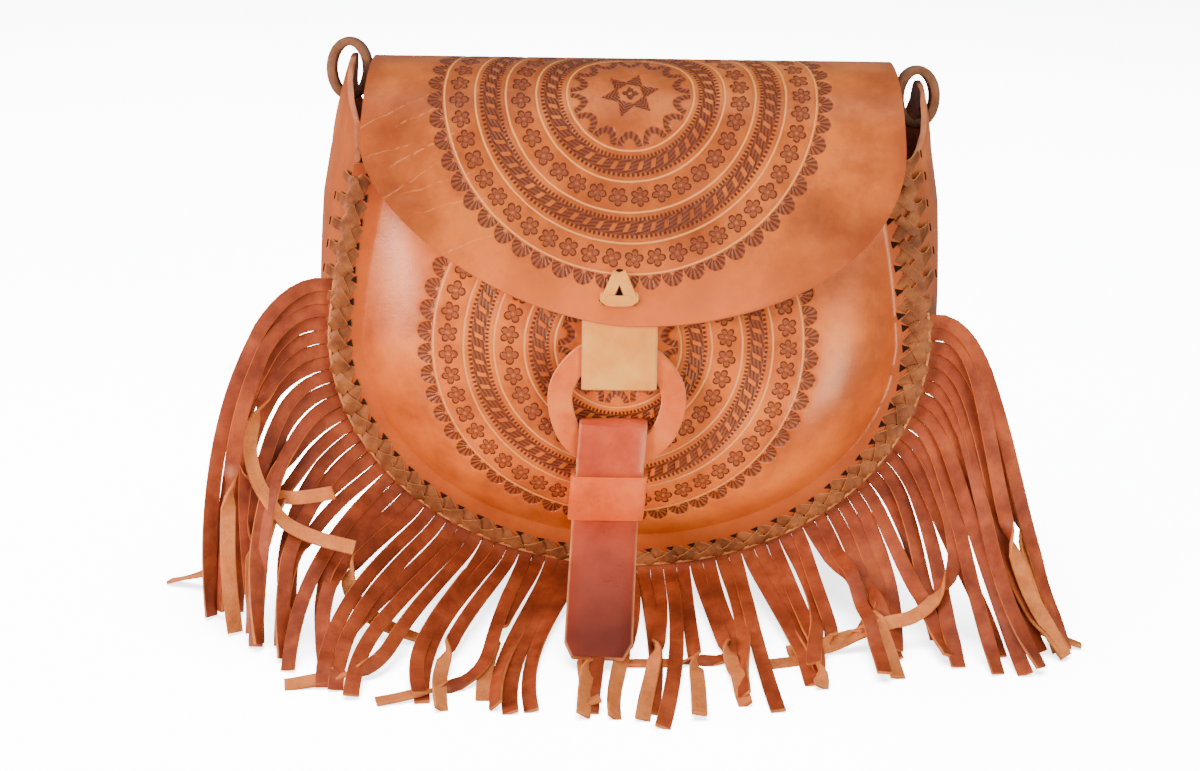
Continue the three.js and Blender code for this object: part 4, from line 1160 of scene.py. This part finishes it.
def makeTab():
    away = gap + closure["tabThickness"] / 2
    fold, top = closure["tabFold"], closure["tabTop"]
    back = [(domeY(z) - away, z) for z in [fold + (top - fold) * share for share in (1, 0.83, 0.65, 0.46, 0.28, 0.13)]]
    turn = foldPoints(domeY(fold + 5 * mm) - away, ringFrontAt(fold) - away, fold + closure["tabThickness"] / 2, -1)
    flapInside = lambda z: flapY(z) + bag["wall"] / math.cos(bag["flapSlope"]) + away
    ringTop = closure["ringZ"] + closure["ringRadius"]
    holeTop = closure["ringZ"] + closure["ringHole"]
    front = [(ringFrontAt(holeTop) - away, holeTop), (ringFrontAt(ringTop) - away, ringTop)]
    front += [(flapInside(z), z) for z in (bag["flapTip"] + 2 * mm, 0.1525, top)]
    route = strapRoute(back + turn + front, lambda z: bag["closureX"] + 1 * mm, 90)
    across = np.tile(np.array([1.0, 0, 0]), (len(route), 1))
    rings = ribbonPoints(route, across, closure["tabWidth"], closure["tabThickness"])
    return ribbonsMesh("naturalTab", [rings], leather("tabLeather", looks["tab"]))


def makeRing():
    turns = np.linspace(0, 2 * math.pi, 129)[:-1]
    middle = (closure["ringRadius"] + closure["ringHole"]) / 2
    wobble = 0.35 * mm * np.sin(3 * turns + 0.6) + 0.2 * mm * np.sin(7 * turns)
    radius = middle + wobble
    route = np.stack([radius * np.cos(turns), np.zeros(128), radius * np.sin(turns)], axis=1)
    radial = np.stack([np.cos(turns), np.zeros(128), np.sin(turns)], axis=1)
    section = np.array(stripSection)
    half = (closure["ringRadius"] - closure["ringHole"]) / 2
    rings = route[:, None] + radial[:, None] * section[None, :, :1] * half
    rings = rings + np.array([0, -1.0, 0]) * section[None, :, 1:2] * closure["ringThickness"] / 2
    turn = np.array(Matrix.Rotation(-closure["ringTilt"], 3, "X"))
    rings = rings @ turn.T + np.array([bag["closureX"], (ringFrontY + ringBackY) / 2, closure["ringZ"]])
    return ribbonsMesh("leatherRing", [rings], leather("ringLeather", looks["ring"]), closed=True)


def strapX(z):
    return bag["closureX"] - 1 * mm - closure["strapLean"] * (closure["strapFold"] - z) / closure["strapFold"]


keeperLow = closure["keeperZ"] - closure["keeperHeight"] / 2
keeperHigh = closure["keeperZ"] + closure["keeperHeight"] / 2


def legInKeeper(z):
    return domeY(z) - gap - closure["keeperSlack"] - closure["keeperThickness"] - closure["strapThickness"] / 2


def makeStrap():
    thick = closure["strapThickness"]
    away = gap + thick / 2
    ringLow = closure["ringZ"] - closure["ringRadius"]
    endZ = closure["strapBackEnd"]
    onDome = lambda z: (domeY(z) - away - gap, z)
    back = [onDome(endZ), onDome(endZ + (keeperLow - endZ) * 0.5)]
    back += [(legInKeeper(z), z) for z in (keeperLow - 1 * mm, closure["keeperZ"], keeperHigh)]
    back.append((strapBackY, ringLow + 6 * mm))
    turn = foldPoints(strapBackY, ringFrontAt(closure["strapFold"]) - away, closure["strapFold"] - thick / 2, 1)
    beside = thick + gap
    front = [(ringFrontAt(ringLow) - away - gap, ringLow)]
    front += [(legInKeeper(z) - beside, z) for z in (keeperHigh, closure["keeperZ"], keeperLow)]
    leaveY, lowZ = legInKeeper(keeperLow) - beside, keeperLow
    for across, down in ((0.17, 0.24), (0.47, 0.55), (0.83, 0.87), (1, 1)):
        front.append((leaveY + (closure["strapEndY"] - leaveY) * across, lowZ + (closure["strapEndZ"] - lowZ) * down))
    route = strapRoute(back + turn + front, strapX, 130)
    across = np.tile(np.array([-1.0, 0, 0]), (len(route), 1))
    width = np.full(len(route), closure["strapWidth"])
    width[-6:] -= np.linspace(0, 1, 6) * 7 * mm
    rings = ribbonPoints(route, across, width, thick)
    return ribbonsMesh("brownStrap", [rings], leather("strapLeather", looks["strap"]))


def makeKeeper():
    # a band round both legs of the strap, as a closed loop with rounded corners
    count = 64
    turns = np.linspace(0, 2 * math.pi, count + 1)[:-1]
    rows = []
    heights = [(0.0, 0), (0.03, 0.9), (0.5, 1.0), (0.97, 0.9), (1.0, 0)]
    z0 = keeperLow
    outer, inner = [], []
    for share in np.linspace(0, 1, 9):
        z = z0 + closure["keeperHeight"] * share
        back = domeY(z) - gap
        front = legInKeeper(z) - 1.5 * closure["strapThickness"] - gap - closure["keeperSlack"]
        thick = closure["keeperThickness"]
        for grow, store in ((thick, outer), (0, inner)):
            low, high = front - grow, back - thick + grow
            halfX = closure["strapWidth"] / 2 + gap + grow
            halfY = (high - low) / 2
            corner = np.sign(np.cos(turns)) * np.abs(np.cos(turns)) ** 0.22 * halfX
            depth = np.sign(np.sin(turns)) * np.abs(np.sin(turns)) ** 0.3 * halfY
            store.append(np.stack([strapX(z) + corner, (low + high) / 2 + depth, np.full(count, z)], axis=1))
    outer, inner = np.array(outer), np.array(inner)
    bulge = np.sin(np.linspace(0, math.pi, 9))[:, None] * 0.3 * mm
    outer[..., 1] -= bulge
    points = np.vstack([outer.reshape(-1, 3), inner.reshape(-1, 3)])
    faces = gridFaces(9, count, closed=True).tolist()
    base = 9 * count
    faces += [[i + base for i in f][::-1] for f in gridFaces(9, count, closed=True).tolist()]
    for row in (0, 8):
        for j in range(count):
            k = (j + 1) % count
            ring = [row * count + j, row * count + k, base + row * count + k, base + row * count + j]
            faces.append(ring[::-1] if row == 0 else ring)
    flesh = np.concatenate([np.zeros(base), np.ones(base)])
    return makeMesh("strapKeeper", points, outwards(faces, points), leather("keeperLeather", looks["keeper"]), None, {"flesh": flesh}, 40)


def makeKnot():
    # three strips of lace round a small triangle, through holes in the flap that are dark plates of painted shade, in
    # millimetres on its face
    strips = [
        [(-5.0, -1.4, -1.2), (-6.2, -3.6, 0.9), (-3.2, -4.8, 1.9), (3.2, -4.8, 1.9), (6.2, -3.6, 0.9), (5.0, -1.4, -1.2)],
        [(-5.2, -4.4, 0.4), (-4.4, -1.8, 1.1), (-2.6, 2.4, 1.3), (-1.0, 6.2, 1.1), (-0.3, 8.0, -1.0)],
        [(5.2, -4.4, 0.4), (4.4, -1.8, 1.1), (2.6, 2.4, 1.6), (1.0, 6.2, 1.5), (0.3, 8.0, -1.0)],
    ]
    holes = [
        [(-1.5, -2.4), (1.5, -2.4), (0, 1.4)],
        [(-2.2, 7.6), (2.2, 7.6), (0.9, 9.2), (-0.9, 9.2)],
        [(-8.8, -4.6), (-6.4, -6.9), (-7.2, -1.2)],
        [(8.8, -4.6), (7.2, -1.2), (6.4, -6.9)],
    ]
    slope = bag["flapSlope"]
    middleX = bag["closureX"] + 0.5 * mm

    def onFlap(flat):
        zFace = closure["knotZ"] + flat[:, 1] * math.cos(slope)
        y = flapY(zFace) - flat[:, 2] * math.cos(slope)
        return np.stack([middleX + flat[:, 0], y, zFace + flat[:, 2] * math.sin(slope)], axis=1)

    ribbons = []
    for strip in strips:
        route = onFlap(smoothPath(np.array(strip) * mm, 18))
        normal = np.tile(np.array([0, -math.cos(slope), math.sin(slope)]), (len(route), 1))
        ribbons.append(ribbonPoints(route, np.cross(unit(np.gradient(route, axis=0)), normal), closure["knotLace"], 1.2 * mm))
    # dark plates of painted shade where the holes show
    holeShadePlates = [onFlap(plate(corners)) for corners in holes]
    return ribbonsMesh("laceKnot", ribbons, leather("knotLeather", looks["tab"]), holeShadePlates=holeShadePlates)


def makeLoop(name, loop):
    turns = np.linspace(0, 2 * math.pi, 97)[:-1]
    thick, width, lean = 3.8 * mm, 12 * mm, math.radians(10)
    halfSpan, halfHeight = 10 * mm - thick / 2, 14 * mm - thick / 2
    route = np.stack([halfSpan * np.cos(turns), np.zeros(96), halfHeight * np.sin(turns)], axis=1)
    radial = unit(np.stack([np.cos(turns) / halfSpan, np.zeros(96), np.sin(turns) / halfHeight], axis=1))
    section = np.array(stripSection)
    rings = route[:, None] + np.array([0, 1.0, 0]) * section[None, :, :1] * width / 2
    rings = rings + radial[:, None] * section[None, :, 1:2] * thick / 2
    turn = np.array(Matrix.Rotation(-lean, 3, "X"))
    rings = rings @ turn.T + np.array([loop["side"] * loop["x"], 0, loop["z"]])
    return ribbonsMesh(name, [rings], loopMaterial, closed=True)


print("closure and loops")
finishPiece(makeTab(), ["closure_tab"])
finishPiece(makeRing(), ["closure_ring"])
finishPiece(makeStrap(), ["closure_strap"])
finishPiece(makeKeeper(), ["strap_keeper"])
finishPiece(makeKnot(), ["tab_lace"])
loopMaterial = leather("loopLeather", looks["loop"])
for side, loop in loops.items():
    finishPiece(makeLoop(f"{side}Loop", loop), [f"strap_loop_{side}"])

# Studio
studio = {
    "target": Vector((-0.0128, 0, 0.0863)), "distance": 1.0, "elevation": math.radians(20), "roll": math.radians(0.8),
    "lens": 63.06, "floorSize": 12.0, "floorGlow": 3.0, "roomLight": 0.28, "floorLight": 900,
}


def addLight(name, place, size, power, target=(0, 0, 0.1), tint=(1, 1, 1), shine=False):
    light = bpy.data.lights.new(name, "AREA")
    light.shape = "RECTANGLE"
    light.size, light.size_y = size
    light.energy = power
    light.color = tint
    holder = bpy.data.objects.new(name, light)
    holder.location = place
    holder.visible_glossy = shine
    holder.rotation_euler = (Vector(target) - Vector(place)).to_track_quat("-Z", "Y").to_euler()
    bpy.context.scene.collection.objects.link(holder)
    return holder


def makeStudio():
    camera = bpy.data.cameras.new("camera")
    camera.lens = studio["lens"]
    camera.sensor_width = 36
    camera.sensor_fit = "HORIZONTAL"
    holder = bpy.data.objects.new("camera", camera)
    back = Vector((0, -math.cos(studio["elevation"]), math.sin(studio["elevation"])))
    aim = (-back).to_track_quat("-Z", "Y").to_matrix().to_4x4()
    holder.matrix_world = Matrix.Translation(studio["target"] + back * studio["distance"]) @ aim @ Matrix.Rotation(studio["roll"], 4, "Z")
    bpy.context.scene.collection.objects.link(holder)
    bpy.context.scene.camera = holder

    # the floor shows white to the camera and sends no light back, as in a bright studio
    floorMaterial, start = startMaterial("paleFloor")
    place = start.node("ShaderNodeTexCoord", outlet=3)
    shade = start.node("ShaderNodeValToRGB", {"stops": [(0.3, (0.90, 0.92, 0.94)), (0.7, (0.95, 0.96, 0.97))]}, {0: place.noise(3, 2)})
    shader = start.node("ShaderNodeBsdfPrincipled", {}, {
        "Base Color": shade, "Roughness": 0.9, "Specular IOR Level": 0.0, "Emission Color": (1, 1, 1, 1), "Emission Strength": studio["floorGlow"],
    })
    start.node("ShaderNodeOutputMaterial", {}, {"Surface": shader})
    half = studio["floorSize"] / 2
    corners = [(-half, -half, 0), (half, -half, 0), (half, half, 0), (-half, half, 0)]
    floor = makeMesh("floor", np.array(corners), [[0, 1, 2, 3]], floorMaterial)
    floor.visible_diffuse = False
    floor.visible_glossy = False
    floor.visible_shadow = False

    world = bpy.data.worlds.new("softRoom")
    world.use_nodes = True
    world.node_tree.nodes["Background"].inputs[0].default_value = (1, 1, 1, 1)
    world.node_tree.nodes["Background"].inputs[1].default_value = studio["roomLight"]
    bpy.context.scene.world = world
    addLight("key", (0.75, -1.3, 0.75), (0.8, 0.8), 10)
    addLight("fill", (-1.0, -1.1, 0.9), (0.8, 0.8), 7.5)
    addLight("top", (0, -0.2, 1.7), (1.2, 0.8), 14)
    addLight("leftStreak", (-0.85, -0.5, 0.25), (0.5, 0.12), 12, target=(-0.05, -0.06, 0.12), tint=(1, 0.66, 0.48), shine=True)
    addLight("rightSheen", (0.74, -0.87, -0.22), (0.4, 0.6), 10, tint=(1, 0.7, 0.45), shine=True)
    floorLight = addLight("floorLight", (-0.2, 0.1, 2.6), (2.2, 2.2), studio["floorLight"])
    only = bpy.data.collections.new("floorOnly")
    only.objects.link(floor)
    floorLight.light_linking.receiver_collection = only


print("studio")
makeStudio()
